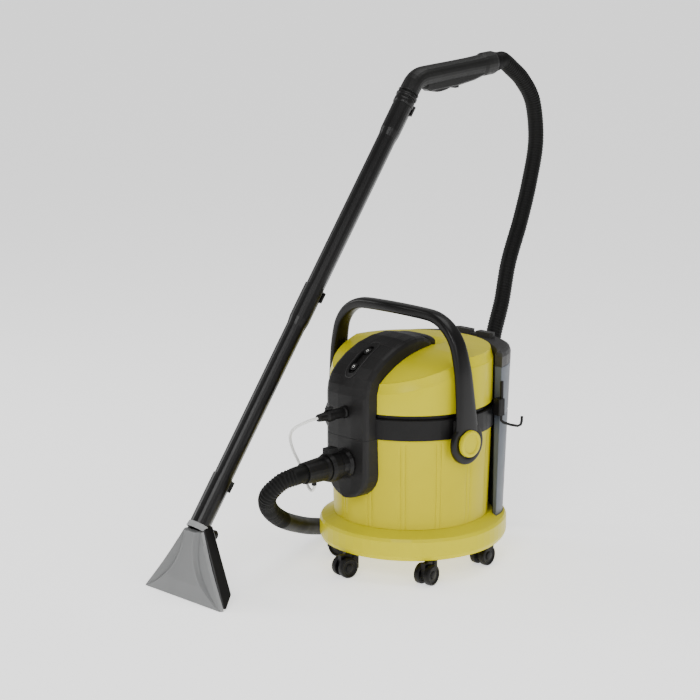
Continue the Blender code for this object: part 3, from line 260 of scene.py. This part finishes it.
def loft(name, rings, body, mat, nodes=(), loop=False, place=None, angle=32.0, caps=True):
    """Surface through a row of sections with equal point counts; a one-point section is a pole."""
    place = place or Matrix.Identity(4)
    bm = bmesh.new()
    rows = [[bm.verts.new(world(place @ Vector(p))) for p in ring] for ring in rings]
    pairs = list(zip(rows, rows[1:])) + ([(rows[-1], rows[0])] if loop else [])
    for a, b in pairs:
        count = max(len(a), len(b))
        for i in range(count):
            j = (i + 1) % count
            if len(a) == 1:
                bm.faces.new((a[0], b[j], b[i]))
            elif len(b) == 1:
                bm.faces.new((a[i], a[j], b[0]))
            else:
                bm.faces.new((a[i], a[j], b[j], b[i]))
    if caps and not loop:
        for row in (rows[0], rows[-1]):
            if len(row) > 2:
                bm.faces.new(row)
    bmesh.ops.recalc_face_normals(bm, faces=bm.faces)
    mesh = bpy.data.meshes.new(name)
    bm.to_mesh(mesh)
    bm.free()
    return finish_piece(bpy.data.objects.new(name, mesh), body, mat, nodes, angle)


def mix(a, b, t):
    """Value part-way from one number to another."""
    return a + (b - a) * t


def circle(r, z, count):
    """Ring of points about local Z."""
    step = 2.0 * math.pi / count
    return [(r * math.cos(step * i), r * math.sin(step * i), z) for i in range(count)]


def oval(half_x, half_y, power_x, power_y, count, phase=0.0):
    """Oval outline; powers under one square its sides off."""
    points = []
    for i in range(count):
        a = 2.0 * math.pi * (i + phase) / count
        x = math.copysign(abs(math.cos(a)) ** power_x, math.cos(a)) * half_x
        y = math.copysign(abs(math.sin(a)) ** power_y, math.sin(a)) * half_y
        points.append((x, y))
    return points


def bead(spot, side, up, r, count):
    """Round section about a point, in the plane of two directions."""
    turn = 2.0 * math.pi / count
    return [spot + side * (r * math.cos(turn * k)) + up * (r * math.sin(turn * k)) for k in range(count)]


def lathe(profile, count=64):
    """Rings of a turned shape from (radius, height) pairs about local Z; radius 0 closes it in a pole."""
    return [circle(r, z, count) if r > 0.0 else [(0.0, 0.0, z)] for r, z in profile]


def at(x, y, z):
    """Move to a point."""
    return Matrix.Translation((x, y, z))


def soften(ob, width, segments=3, angle=30.0):
    """Rounded edges where the surface turns."""
    mod = ob.modifiers.new("edges", "BEVEL")
    mod.width = width * MM
    mod.segments = segments
    mod.limit_method = "ANGLE"
    mod.angle_limit = math.radians(angle)
    return ob


# ---------------------------------------------------------------- cords


def smooth_path(points, step, lead):
    """Evenly spaced points on a smooth curve through given ones, square to both ends."""
    pts = [Vector(p) for p in points]
    first = (pts[1] - pts[0]).normalized() * lead
    last = (pts[-2] - pts[-1]).normalized() * lead
    full = [pts[0] * 2.0 - pts[1]] + pts + [pts[-1] * 2.0 - pts[-2]]
    dense = []
    for k in range(1, len(full) - 2):
        p0, p1, p2, p3 = full[k - 1 : k + 3]
        for i in range(40):
            t = i / 40
            a = p1 * 2.0 + (p2 - p0) * t
            b = (p0 * 2.0 - p1 * 5.0 + p2 * 4.0 - p3) * t * t
            c = (p1 * 3.0 - p0 - p2 * 3.0 + p3) * t**3
            dense.append((a + b + c) * 0.5)
    dense.append(pts[-1])
    total = sum((b - a).length for a, b in zip(dense, dense[1:]))
    count = max(round(total / step), 2)
    out = [pts[0], pts[0] + first]
    walked = 0.0
    gap = total / count
    for a, b in zip(dense, dense[1:]):
        walked += (b - a).length
        if walked >= gap * (len(out) - 1) - 1e-6 and len(out) <= count:
            out.append(b)
    return out + [pts[-1] + last, pts[-1]]


GAP = 0.3
PANEL_Y = -186.0
INLET_Z = 236.0
SPRAY_Z = 340.0
CUFF_END_Y = -300.0
PLUG_END_Y = -(-PANEL_Y + 2.0 + GAP + 33.0 + GAP + 40.0)
HOSE_R = 18.0
SPRAY_TUBE_R = 2.8
WAND = Matrix.Translation((-127.0, -427.7, 181.1)) @ Matrix.Rotation(-math.radians(35.8), 4, "X")
ELBOW_S = 968.0
corner = WAND @ Vector((0.0, 0.0, ELBOW_S))
GRIP_AXIS = Matrix.Translation(corner) @ Matrix.Rotation(-math.radians(90.0 - 4.7), 4, "X")
GRIP_END = 236.0

HOSE_ROUTE = [
    (0.0, CUFF_END_Y - GAP, INLET_Z), (0.0, CUFF_END_Y - 8.0, INLET_Z),
    (-3.0, CUFF_END_Y - 26.0, INLET_Z - 3.0), (-12.0, -345.0, 226.0), (-30.0, -361.0, 203.0),
    (-50.0, -350.0, 178.0), (-80.0, -312.0, 145.0), (-112.0, -255.0, 110.0),
    (-150.0, -180.0, 76.0), (-190.0, -95.0, 44.0), (-220.0, -15.0, 23.0),
    (-232.0, 80.0, 19.0), (-212.0, 165.0, 19.0), (-165.0, 228.0, 24.0), (-112.0, 262.0, 60.0),
    (-84.0, 276.0, 130.0), (-76.0, 290.0, 230.0), (-76.0, 315.0, 330.0), (-80.0, 338.0, 408.0),
    (-88.0, 371.0, 474.0), (-96.0, 400.0, 555.0), (-106.0, 448.0, 640.0), (-115.0, 487.0, 723.0),
    (-121.0, 512.0, 808.0), (-124.0, 503.0, 893.0), (-126.0, 470.0, 942.0), (-127.0, 436.0, 969.0),
]
HOSE_ROUTE.append(tuple(GRIP_AXIS @ Vector((0.0, 0.0, GRIP_END + 32.0))))
HOSE_ROUTE.append(tuple(GRIP_AXIS @ Vector((0.0, 0.0, GRIP_END + 15.0 + GAP))))
SPRAY_ROUTE = [
    (0.0, PLUG_END_Y - GAP, SPRAY_Z), (0.0, PLUG_END_Y - 5.0, SPRAY_Z), (-6.0, -284.0, 336.0),
    (-26.0, -298.0, 322.0), (-48.0, -290.0, 300.0), (-54.0, -278.0, 272.0), (-46.0, -270.0, 246.0),
    (-34.0, -268.0, 222.0), (-20.0, -269.0, 201.0), (-7.0, -271.0, 194.0), (0.0, -271.0, INLET_Z - 34.0),
    (0.0, -271.0, INLET_Z - 29.0 - GAP),
]


def path_length(points):
    """Length of a line through points."""
    return sum((Vector(b) - Vector(a)).length for a, b in zip(points, points[1:]))


def ribbed_hose(centre, radius_at, count=28):
    """Rings square to the centreline, turned with it so that the skin doesn't twist."""
    rings = []
    side = Vector((1.0, 0.0, 0.0))
    walked = 0.0
    for k, p in enumerate(centre):
        before = centre[max(k - 1, 0)]
        after = centre[min(k + 1, len(centre) - 1)]
        if k:
            walked += (p - centre[k - 1]).length
        along = (after - before).normalized()
        side = (side - along * side.dot(along)).normalized()
        rings.append(bead(p, side, along.cross(side), radius_at(walked), count))
    return rings


HOSE_STEP = 1.25
SPRAY_STEP = 4.0
hose_line = smooth_path(HOSE_ROUTE, HOSE_STEP, 1.0)
HOSE_LEN = path_length(hose_line)
SLEEVE = (250.0, 560.0)
SLEEVE_STEP = 0.2
PLAIN_ENDS = (26.0, 22.0)
RIB_DEPTH = 1.9
RIB_PITCH = 6.0


def hose_radius(s):
    """Hose radius at a distance from the cuff: ribs, with a smooth sleeve and plain ends."""
    if SLEEVE[0] < s < SLEEVE[1]:
        return HOSE_R - SLEEVE_STEP
    if s < PLAIN_ENDS[0] or s > HOSE_LEN - PLAIN_ENDS[1]:
        return HOSE_R
    return HOSE_R - RIB_DEPTH * (0.5 - 0.5 * math.cos(2.0 * math.pi * s / RIB_PITCH))


hose_rings = ribbed_hose(hose_line, hose_radius)
hose = loft("ribbed_hose", hose_rings, "machine", RUBBER, ["suction_hose"], angle=180.0)

spray_line = smooth_path(SPRAY_ROUTE, SPRAY_STEP, 2.0)
curve = bpy.data.curves.new("spray_tube", "CURVE")
curve.dimensions = "3D"
curve.bevel_depth = SPRAY_TUBE_R * MM
curve.bevel_resolution = 6
curve.use_fill_caps = True
spline = curve.splines.new("POLY")
spline.points.add(len(spray_line) - 1)
for knot, p in zip(spline.points, spray_line):
    knot.co = (*world(p), 1.0)
tube = finish_piece(bpy.data.objects.new("spray_tube", curve), "machine", WHITE, ["spray_hose"])

# ---------------------------------------------------------------- dirt container

CONTAINER_R = (157.0, 163.0)
CONTAINER_Z = (105.3, 289.0)
GROOVE_PAIRS = 14
GROOVE_DEPTH = 1.1
GROOVE_HALF = 0.55
GROOVE_OFF = 1.75
WALL_STEPS = (-2.4, -2.1, -1.75, -1.4, -1.1, -0.4, 0.4, 1.1, 1.4, 1.75, 2.1, 2.4)
WALL_STEPS += (5.0, 7.7, 10.4, 13.1, 15.8, 18.5, 21.0)


def wall_ring(r, z, depth):
    """Circle with pairs of fine upright grooves of a given depth."""
    ring = []
    for k in range(GROOVE_PAIRS):
        middle = 360.0 / GROOVE_PAIRS * (k + 0.5) - 90.0
        for off in WALL_STEPS:
            a = math.radians(middle + off)
            near = max(1.0 - abs(abs(off) - GROOVE_OFF) / GROOVE_HALF, 0.0)
            rr = r - depth * near
            ring.append((rr * math.cos(a), rr * math.sin(a), z))
    return ring


CONTAINER_WALL = 3.0
GROOVE_TOP = 9.0
PLAIN_BAND = 7.0
foot_r, rim_r = CONTAINER_R
foot_z, rim_z = CONTAINER_Z
wall = []
for k in range(9):
    z = mix(foot_z, rim_z - GROOVE_TOP, k / 8)
    r = mix(foot_r, rim_r, (z - foot_z) / (rim_z - foot_z))
    wall.append(wall_ring(r, z, GROOVE_DEPTH))
wall += [wall_ring(rim_r, rim_z - PLAIN_BAND, 0.0), wall_ring(rim_r, rim_z, 0.0)]
wall += [wall_ring(rim_r - CONTAINER_WALL, rim_z, 0.0), wall_ring(foot_r - CONTAINER_WALL, foot_z, 0.0)]
loft("container_wall", wall, "machine", CONTAINER, ["container"], loop=True, angle=28.0)

# ---------------------------------------------------------------- fresh water tank

TANK_OUT = ((151.0, 56.0), (160.0, 60.0))
TANK_IN_R = 169.0
TANK_FRONT_Y = 100.0
TANK_SEAT_Z = 78.0
TANK_Z = (78.3, 409.0)
TANK_WALL = 2.6


def tank_section(z, inset=0.0, count=72):
    """Plan of the tank: outer arc round the rear, inner arc hugging the body, flat front ends."""
    t = (z - TANK_SEAT_Z) / (TANK_Z[1] - TANK_SEAT_Z)
    out_r = mix(TANK_OUT[0][0], TANK_OUT[1][0], t) - inset
    out_y = mix(TANK_OUT[0][1], TANK_OUT[1][1], t)
    in_r = TANK_IN_R + inset
    front = TANK_FRONT_Y + inset
    a1 = math.atan2(front - out_y, math.sqrt(out_r**2 - (front - out_y) ** 2))
    a2 = math.atan2(front, math.sqrt(in_r**2 - front**2))
    ring = []
    for i in range(count + 1):
        a = mix(a1, math.pi - a1, i / count)
        ring.append((out_r * math.cos(a), out_y + out_r * math.sin(a), z))
    for i in range(count + 1):
        a = mix(math.pi - a2, a2, i / count)
        ring.append((in_r * math.cos(a), in_r * math.sin(a), z))
    return ring


tank = [tank_section(TANK_Z[0] + TANK_WALL, TANK_WALL), tank_section(TANK_Z[1], TANK_WALL)]
tank.append(tank_section(TANK_Z[1]))
for z, inset in ((TANK_Z[1] - 3.0, 0.0), (312.0, 0.0), (310.0, 0.7), (306.0, 0.7), (304.0, 0.0)):
    tank.append(tank_section(z, inset))
tank += [tank_section(TANK_Z[0] + 4.0), tank_section(TANK_Z[0], 2.0)]
soften(loft("tank_shell", tank, "fresh_tank_body", TANK, ["fresh_tank"]), 1.6)

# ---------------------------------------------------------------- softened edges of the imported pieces

SOFT_EDGES = {
    "tank_cap": 1.6, "base": 1.2, "nozzle_back": 1.4, "front_panel": 1.6, "inlet_housing": 1.6,
    "head_base": 0.8, "lock_ring": 0.7, "hose_cuff": 0.7, "spray_plug": 0.6, "spray_socket": 0.6,
    "grip": 0.8, "hook_bracket": 0.8, "inlet_socket": 0.6, "plug_lever": 0.5, "trigger_lock": 0.6,
}
for name, width in SOFT_EDGES.items():
    soften(NODES[name], width)

# ---------------------------------------------------------------- hood

HOOD_R = 165.0
HOOD_Z0 = 339.0
HOOD_TOP = 449.0
HOOD_BEVEL = 8.0
CREASE_Z = (378.0, 426.0)
CREASE_RUN = 158.0
CREASE_RISE = 20.0
CROWN_POWER = 2.6
SCOOP_Y = 50.0
SCOOP_HALF = (46.0, 40.0)
SCOOP_DEEP = 14.0
TOP_RADII = (159.0, 156.5, 152.0, 146.0, 138.0, 129.0, 119.0, 109.0, 99.0)
TOP_RADII += (89.0, 79.0, 69.0, 59.0, 48.0, 36.0, 24.0, 12.0)
HOOD_COUNT = 128


def crease_z(y):
    """Height of the lower crease, rising from the front to the middle."""
    t = min(max((y + CREASE_RUN) / CREASE_RUN, 0.0), 1.0)
    return mix(CREASE_Z[0], CREASE_Z[1], t)


def hood_top(x, y):
    """Height of the crowned top, with the finger scoop behind the switch arch."""
    r = math.hypot(x, y)
    rim = HOOD_R - HOOD_BEVEL
    edge = crease_z(y * HOOD_R / max(r, 1.0)) + CREASE_RISE
    z = HOOD_TOP - (HOOD_TOP - edge) * min(r / rim, 1.0) ** CROWN_POWER
    d = math.hypot(x / SCOOP_HALF[0], (y - SCOOP_Y) / SCOOP_HALF[1])
    if d < 1.0:
        z -= SCOOP_DEEP * (1.0 - d * d) ** 2
    return z


hood_skin = [circle(HOOD_R - 3.0, HOOD_Z0, HOOD_COUNT), circle(HOOD_R - 0.8, HOOD_Z0, HOOD_COUNT)]
hood_skin.append(circle(HOOD_R, HOOD_Z0 + 1.0, HOOD_COUNT))
for drop, inset in ((-1.2, 0.0), (0.0, 0.35), (1.2, 1.2)):
    ring = circle(HOOD_R - inset, 0.0, HOOD_COUNT)
    hood_skin.append([(x, y, crease_z(y) + drop) for x, y, z in ring])
for r in TOP_RADII:
    hood_skin.append([(x, y, hood_top(x, y)) for x, y, z in circle(r, 0.0, HOOD_COUNT)])
hood_skin.append([(0.0, 0.0, hood_top(0.0, 0.0))])
loft("hood_shell", hood_skin, "machine", YELLOW, ["hood"], angle=20.0)

# ---------------------------------------------------------------- carry handle and its pivots

PIVOT = (-27.0, 281.0)
HANDLE_TOP = (-41.0, 527.0)
HANDLE_HALF = 168.0
HANDLE_CORNER = 84.0
HANDLE_WIDE = (31.0, 15.0)
HANDLE_THICK = (6.0, 11.0)


def handle_line():
    """Half of the bow in the X-Z plane, from the lug up to the middle of the grip."""
    path = [(179.5, PIVOT[1] + 20.0), (179.5, PIVOT[1] + 36.0), (178.8, PIVOT[1] + 66.0)]
    path += [(HANDLE_HALF + 9.0, 385.0), (HANDLE_HALF + 5.5, 425.0)]
    cx = HANDLE_HALF - HANDLE_CORNER
    cz = HANDLE_TOP[1] - HANDLE_CORNER
    for i in range(1, 7):
        a = math.radians(15.0 * i)
        path.append((cx + HANDLE_CORNER * math.cos(a), cz + HANDLE_CORNER * math.sin(a)))
    return path + [(cx * 0.5, HANDLE_TOP[1] + 1.2), (0.0, HANDLE_TOP[1] + 1.6)]


half = handle_line()
bow = smooth_path([(x, 0.0, z) for x, z in half + [(-x, z) for x, z in reversed(half[:-1])]], 5.0, 1.0)
bow_rings = []
for k, p in enumerate(bow):
    tangent = (bow[min(k + 1, len(bow) - 1)] - bow[max(k - 1, 0)]).normalized()
    normal = Vector((tangent.z, 0.0, -tangent.x))
    t = (p.z - PIVOT[1]) / (HANDLE_TOP[1] - PIVOT[1])
    wide = mix(*HANDLE_WIDE, min(max((t - 0.1) / 0.9, 0.0), 1.0) ** 0.75)
    thick = mix(*HANDLE_THICK, min(max((t - 0.1) / 0.8, 0.0), 1.0))
    lean = mix(PIVOT[0], HANDLE_TOP[0], t)
    section = oval(thick, wide, 0.6, 0.75, 32, 0.5)
    bow_rings.append([p + normal * u + Vector((0.0, lean + v, 0.0)) for u, v in section])
loft("handle_bow", bow_rings, "carry_handle_body", DARK, ["carry_handle"], angle=60.0)
for side in (1.0, -1.0):
    word = "right" if side > 0 else "left"
    turn = at(0.0, *PIVOT) @ Matrix.Rotation(side * math.radians(90.0), 4, "Y")
    lug = [(8.4, 172.6), (40.0, 172.6), (42.0, 173.4), (42.8, 175.0), (42.8, 181.0), (42.0, 183.0)]
    lug += [(40.2, 183.9), (31.0, 183.9), (29.5, 183.2), (28.6, 181.6), (8.4, 181.6)]
    loft("handle_lug_" + word, lathe(lug), "carry_handle_body", DARK, ["carry_handle"],
         loop=True, place=turn)
    knob = [(0.0, 182.2), (26.6, 182.2), (26.9, 184.0), (26.9, 189.2), (26.2, 191.6), (24.2, 192.8)]
    knob += [(21.6, 193.0), (20.0, 192.4), (19.4, 190.6), (18.6, 189.8), (16.0, 189.7), (8.0, 190.2)]
    knob += [(0.0, 190.4)]
    loft("knob_" + word, lathe(knob), "machine", YELLOW, ["pivot_knob_" + word], place=turn)

# ---------------------------------------------------------------- wheels

CASTERS = {
    "front": (0.0, -8.0), "right_front": (60.0, 10.0), "left_front": (-54.0, 100.0),
    "right_rear": (125.0, 5.0), "left_rear": (-125.0, -150.0),
}
CASTER_R = 163.0
CASTER_TRAIL = 22.0
WHEEL_R = 21.0
tyre = [(0.0, 9.6), (6.0, 9.6), (7.0, 8.4), (13.5, 8.4), (14.5, 7.4), (15.4, 6.2), (18.0, 5.7), (19.8, 5.7)]
tyre += [(20.7, 6.4), (WHEEL_R, 8.0), (WHEEL_R, 12.0), (WHEEL_R, 15.0), (20.4, 17.0), (19.0, 18.0)]
tyre += [(17.0, 18.3), (16.0, 17.6), (15.4, 16.2), (12.0, 15.8), (9.0, 16.0), (8.2, 17.6)]
tyre += [(7.0, 18.2), (0.0, 18.4)]
for key, (turn, trail) in CASTERS.items():
    a = math.radians(turn)
    swivel = at(CASTER_R * math.sin(a), -CASTER_R * math.cos(a), 0.0)
    swivel = swivel @ Matrix.Rotation(math.radians(trail), 4, "Z")
    axle = swivel @ at(0.0, -CASTER_TRAIL, WHEEL_R) @ Matrix.Rotation(math.radians(90.0), 4, "Y")
    for word, flip in (("r", 0.0), ("l", 180.0)):
        name = "wheel_%s_%s" % (key, word)
        side = axle @ Matrix.Rotation(math.radians(flip), 4, "X")
        loft(name.replace("wheel", "tyre"), lathe(tyre, 48), name + "_body", BLACK, [name], place=side)

# ---------------------------------------------------------------- switch field on the panel

PANEL_ROWS = (
    (-183.5, 392.0, 14.0), (-175.0, 410.0, 32.0), (-159.0, 427.5, 46.0), (-134.0, 445.5, 57.0),
    (-100.0, 462.0, 68.0), (-66.0, 471.5, 78.0),
)
FIELD_MIDDLE = 2.5
HEM = (1.66, 15.0)
PILL = (1.24, 10.6)
PILL_POWER = 2.0 / 3.0
LIP_R = 0.9


def panel_point(u, x, t):
    """A point on the panel's middle strip: u along the arch, x across, t inwards from the face."""
    k = min(int(u), len(PANEL_ROWS) - 2)
    y, z, tilt = (mix(a, b, u - k) for a, b in zip(PANEL_ROWS[k], PANEL_ROWS[k + 1]))
    a = math.radians(tilt)
    return (x, y + t * math.cos(a), z - t * math.sin(a))


frame_rings = []
lip_rings = []
hem = oval(*HEM, PILL_POWER, PILL_POWER, 96)
pill = oval(*PILL, PILL_POWER, PILL_POWER, 96)
for (u0, x0), (u1, x1) in zip(hem, pill):
    u0 += FIELD_MIDDLE
    u1 += FIELD_MIDDLE
    frame_rings.append([panel_point(u0, x0, -1.0), panel_point(u0, x0, -2.5), panel_point(u1, x1, -2.5),
                        panel_point(u1, x1, 2.4)])
    near = Vector(panel_point(u0, x0, -2.2))
    inward = (Vector(panel_point(FIELD_MIDDLE, 0.0, -2.2)) - near).normalized()
    outward = Vector(panel_point(u0, x0, -3.2)) - near
    lip_rings.append(bead(near, inward, outward, LIP_R, 8))
loft("switch_frame", frame_rings, "machine", BLACK, loop=True)
loft("switch_lip", lip_rings, "machine", CAP, loop=True, angle=60.0)
BUTTON_STEPS = ((0.0, -6.0), (0.0, 0.6), (0.3, 1.3), (0.9, 1.8), (2.2, 2.1), (4.5, 1.7), (6.2, 1.6))
BUTTON_HALF = (7.2, 8.4)
MARK_R = 2.6
MARK_LINE_R = 0.4
BUTTONS = {"switch_suction": (-162.0, 427.0, 45.0), "switch_spray": (-124.0, 452.5, 60.0)}
for name, (y, z, tilt) in BUTTONS.items():
    place = at(0.0, y, z) @ Matrix.Rotation(math.radians(90.0 - tilt), 4, "X")
    rings = []
    for inset, height in BUTTON_STEPS:
        plan = oval(BUTTON_HALF[0] - inset, BUTTON_HALF[1] - inset, 0.8, 0.8, 48)
        rings.append([(x, v, height) for x, v in plan])
    loft(name.replace("switch", "button"), rings, name + "_body", DARK, [name], place=place, angle=60.0)
    mark = []
    for x, v, height in circle(MARK_R, 1.65, 32):
        outward = Vector((x, v, 0.0)) / MARK_R
        mark.append(bead(Vector((x, v, height)), outward, Vector((0.0, 0.0, 1.0)), MARK_LINE_R, 6))
    loft(name.replace("switch", "mark"), mark, name + "_body", WHITE, loop=True, place=place, angle=60.0)

# The arch's thick rear end: y, top, half width and depth of each section.
ARCH_END = (
    (-16.0, 473.9, 36.0, 14.0), (0.0, 473.4, 36.0, 18.0), (14.0, 471.0, 35.0, 21.0),
    (26.0, 467.4, 33.0, 22.0), (36.0, 463.2, 30.0, 21.0), (43.0, 459.4, 25.5, 17.0),
    (47.0, 456.4, 19.0, 12.0), (49.0, 453.6, 9.0, 5.0),
)
rings = []
for y, top, half_w, deep in ARCH_END:
    section = oval(half_w, deep / 2.0, 0.45, 0.6, 40)
    rings.append([(x, y, top - deep / 2.0 + z - 1.2 * (x / half_w) ** 2) for x, z in section])
loft("arch_end", rings, "machine", PANEL, angle=60.0)

# ---------------------------------------------------------------- nozzle cover

NOZZLE_TOP_Z = 140.0
NOZZLE_LIP_Y = -506.0
NOZZLE_SLOPE = 0.2207
COVER_DEEP = 9.0
COVER_HALF = (115.0, 19.5)
WAND_X = -127.0
DUCT_HALF = 15.5
DUCT_FLARE = 92.0
DUCT_RISE = 6.5
RIB_RISE = 3.2
CHANNEL_DEEP = 1.2
CHANNEL_OFF = 6.5


def cover_relief(x, z):
    """How far the bell-shaped duct and its ribs stand out of the flat cover."""
    t = 1.0 - z / NOZZLE_TOP_Z
    bell = DUCT_HALF + DUCT_FLARE * max(t, 0.0) ** 2.9
    s = min(max((bell - abs(x)) / 6.0 + 0.5, 0.0), 1.0)
    rise = DUCT_RISE * s * s * (3.0 - 2.0 * s)
    rise += RIB_RISE * math.exp(-(((abs(x) - bell) / 2.6) ** 2))
    rise -= CHANNEL_DEEP * math.exp(-(((abs(x) - bell - CHANNEL_OFF) / 2.4) ** 2))
    return min(rise, 0.19 * z)


cover_rings = []
for k in range(64):
    z = (NOZZLE_TOP_Z - 9.0) * k / 63
    t = z / NOZZLE_TOP_Z
    half_w = mix(*COVER_HALF, t) - 4.0 * math.sin(math.pi * t)
    face = NOZZLE_LIP_Y + NOZZLE_SLOPE * z
    xs = [mix(-half_w, half_w, i / 150) for i in range(151)]
    front = []
    for x in xs:
        corner_drop = 1.6 if abs(x) > half_w - 0.5 else 0.0
        front.append((WAND_X + x, face + 0.8 - cover_relief(x, z) + corner_drop, z))
    back = [(WAND_X + x, face + COVER_DEEP - 0.1, z) for x in reversed(xs)]
    cover_rings.append(front + back)
loft("cover_shell", cover_rings, "machine", CLEAR, ["nozzle_cover"], angle=40.0)
collar = [(20.4, -63.0), (22.6, -63.0), (23.2, -61.5), (22.0, -52.0), (20.4, -51.0)]
loft("cover_collar", lathe(collar), "machine", CLEAR, loop=True, place=WAND, angle=40.0)

# ---------------------------------------------------------------- grip details

for low, high, r in ((919.0, 926.0, 22.6), (931.0, 934.0, 22.2), (902.0, 915.0, 21.8)):
    band = [(20.0, low), (r - 0.8, low), (r, low + 0.8), (r, high - 0.8), (r - 0.8, high), (20.0, high)]
    loft("elbow_band_%d" % low, lathe(band), "machine", DARK, loop=True, place=WAND, angle=50.0)
rings = [(14.0, 1.0), (20.4, 1.0)]
for k in range(4):
    z = 1.6 + 3.2 * k
    crest = 21.6 - 0.5 * k
    valley = 19.8 - 0.4 * k
    rings += [(crest, z), (crest, z + 1.6), (valley, z + 2.0), (valley, z + 2.8)]
rings += [(19.4, 14.4), (18.6, 14.9), (14.0, 14.9)]
grip_tip = GRIP_AXIS @ at(0.0, 0.0, GRIP_END)
loft("grip_bellows", lathe(rings, 48), "machine", BLACK, ["grip_hose_end"], loop=True, place=grip_tip)
LEVER_HALF = 8.9
LEVER_SPAN = (34.0, 99.0)
LEVER_RIBS = (48.0, 92.0)
LEVER_RIB_PITCH = 5.5
lever = ((34.0, 22.0, 29.0), (42.0, 21.5, 33.0), (60.0, 24.5, 35.5), (84.0, 26.0, 35.0), (99.0, 26.5, 33.0))
rings = []
for k in range(66):
    z = mix(*LEVER_SPAN, k / 65)
    i = max(j for j in range(len(lever) - 1) if lever[j][0] <= z)
    s = (z - lever[i][0]) / (lever[i + 1][0] - lever[i][0])
    t0 = mix(lever[i][1], lever[i + 1][1], s)
    t1 = mix(lever[i][2], lever[i + 1][2], s) - 0.2 + 2.6 * math.sin(math.pi * k / 65)
    if LEVER_RIBS[0] < z < LEVER_RIBS[1]:
        t1 -= 0.9 * (0.5 + 0.5 * math.cos(2.0 * math.pi * z / LEVER_RIB_PITCH))
    ring = [(-LEVER_HALF, t0, z), (LEVER_HALF, t0, z)]
    for j in range(9):
        a = math.pi * j / 8
        x = LEVER_HALF * math.copysign(abs(math.cos(a)) ** 0.5, math.cos(a))
        ring.append((x, t1 - 4.0 + 4.0 * math.sin(a) ** 0.7, z))
    rings.append(ring)
loft("trigger_lever", rings, "trigger_body", BLACK, ["trigger"], place=GRIP_AXIS, angle=50.0)
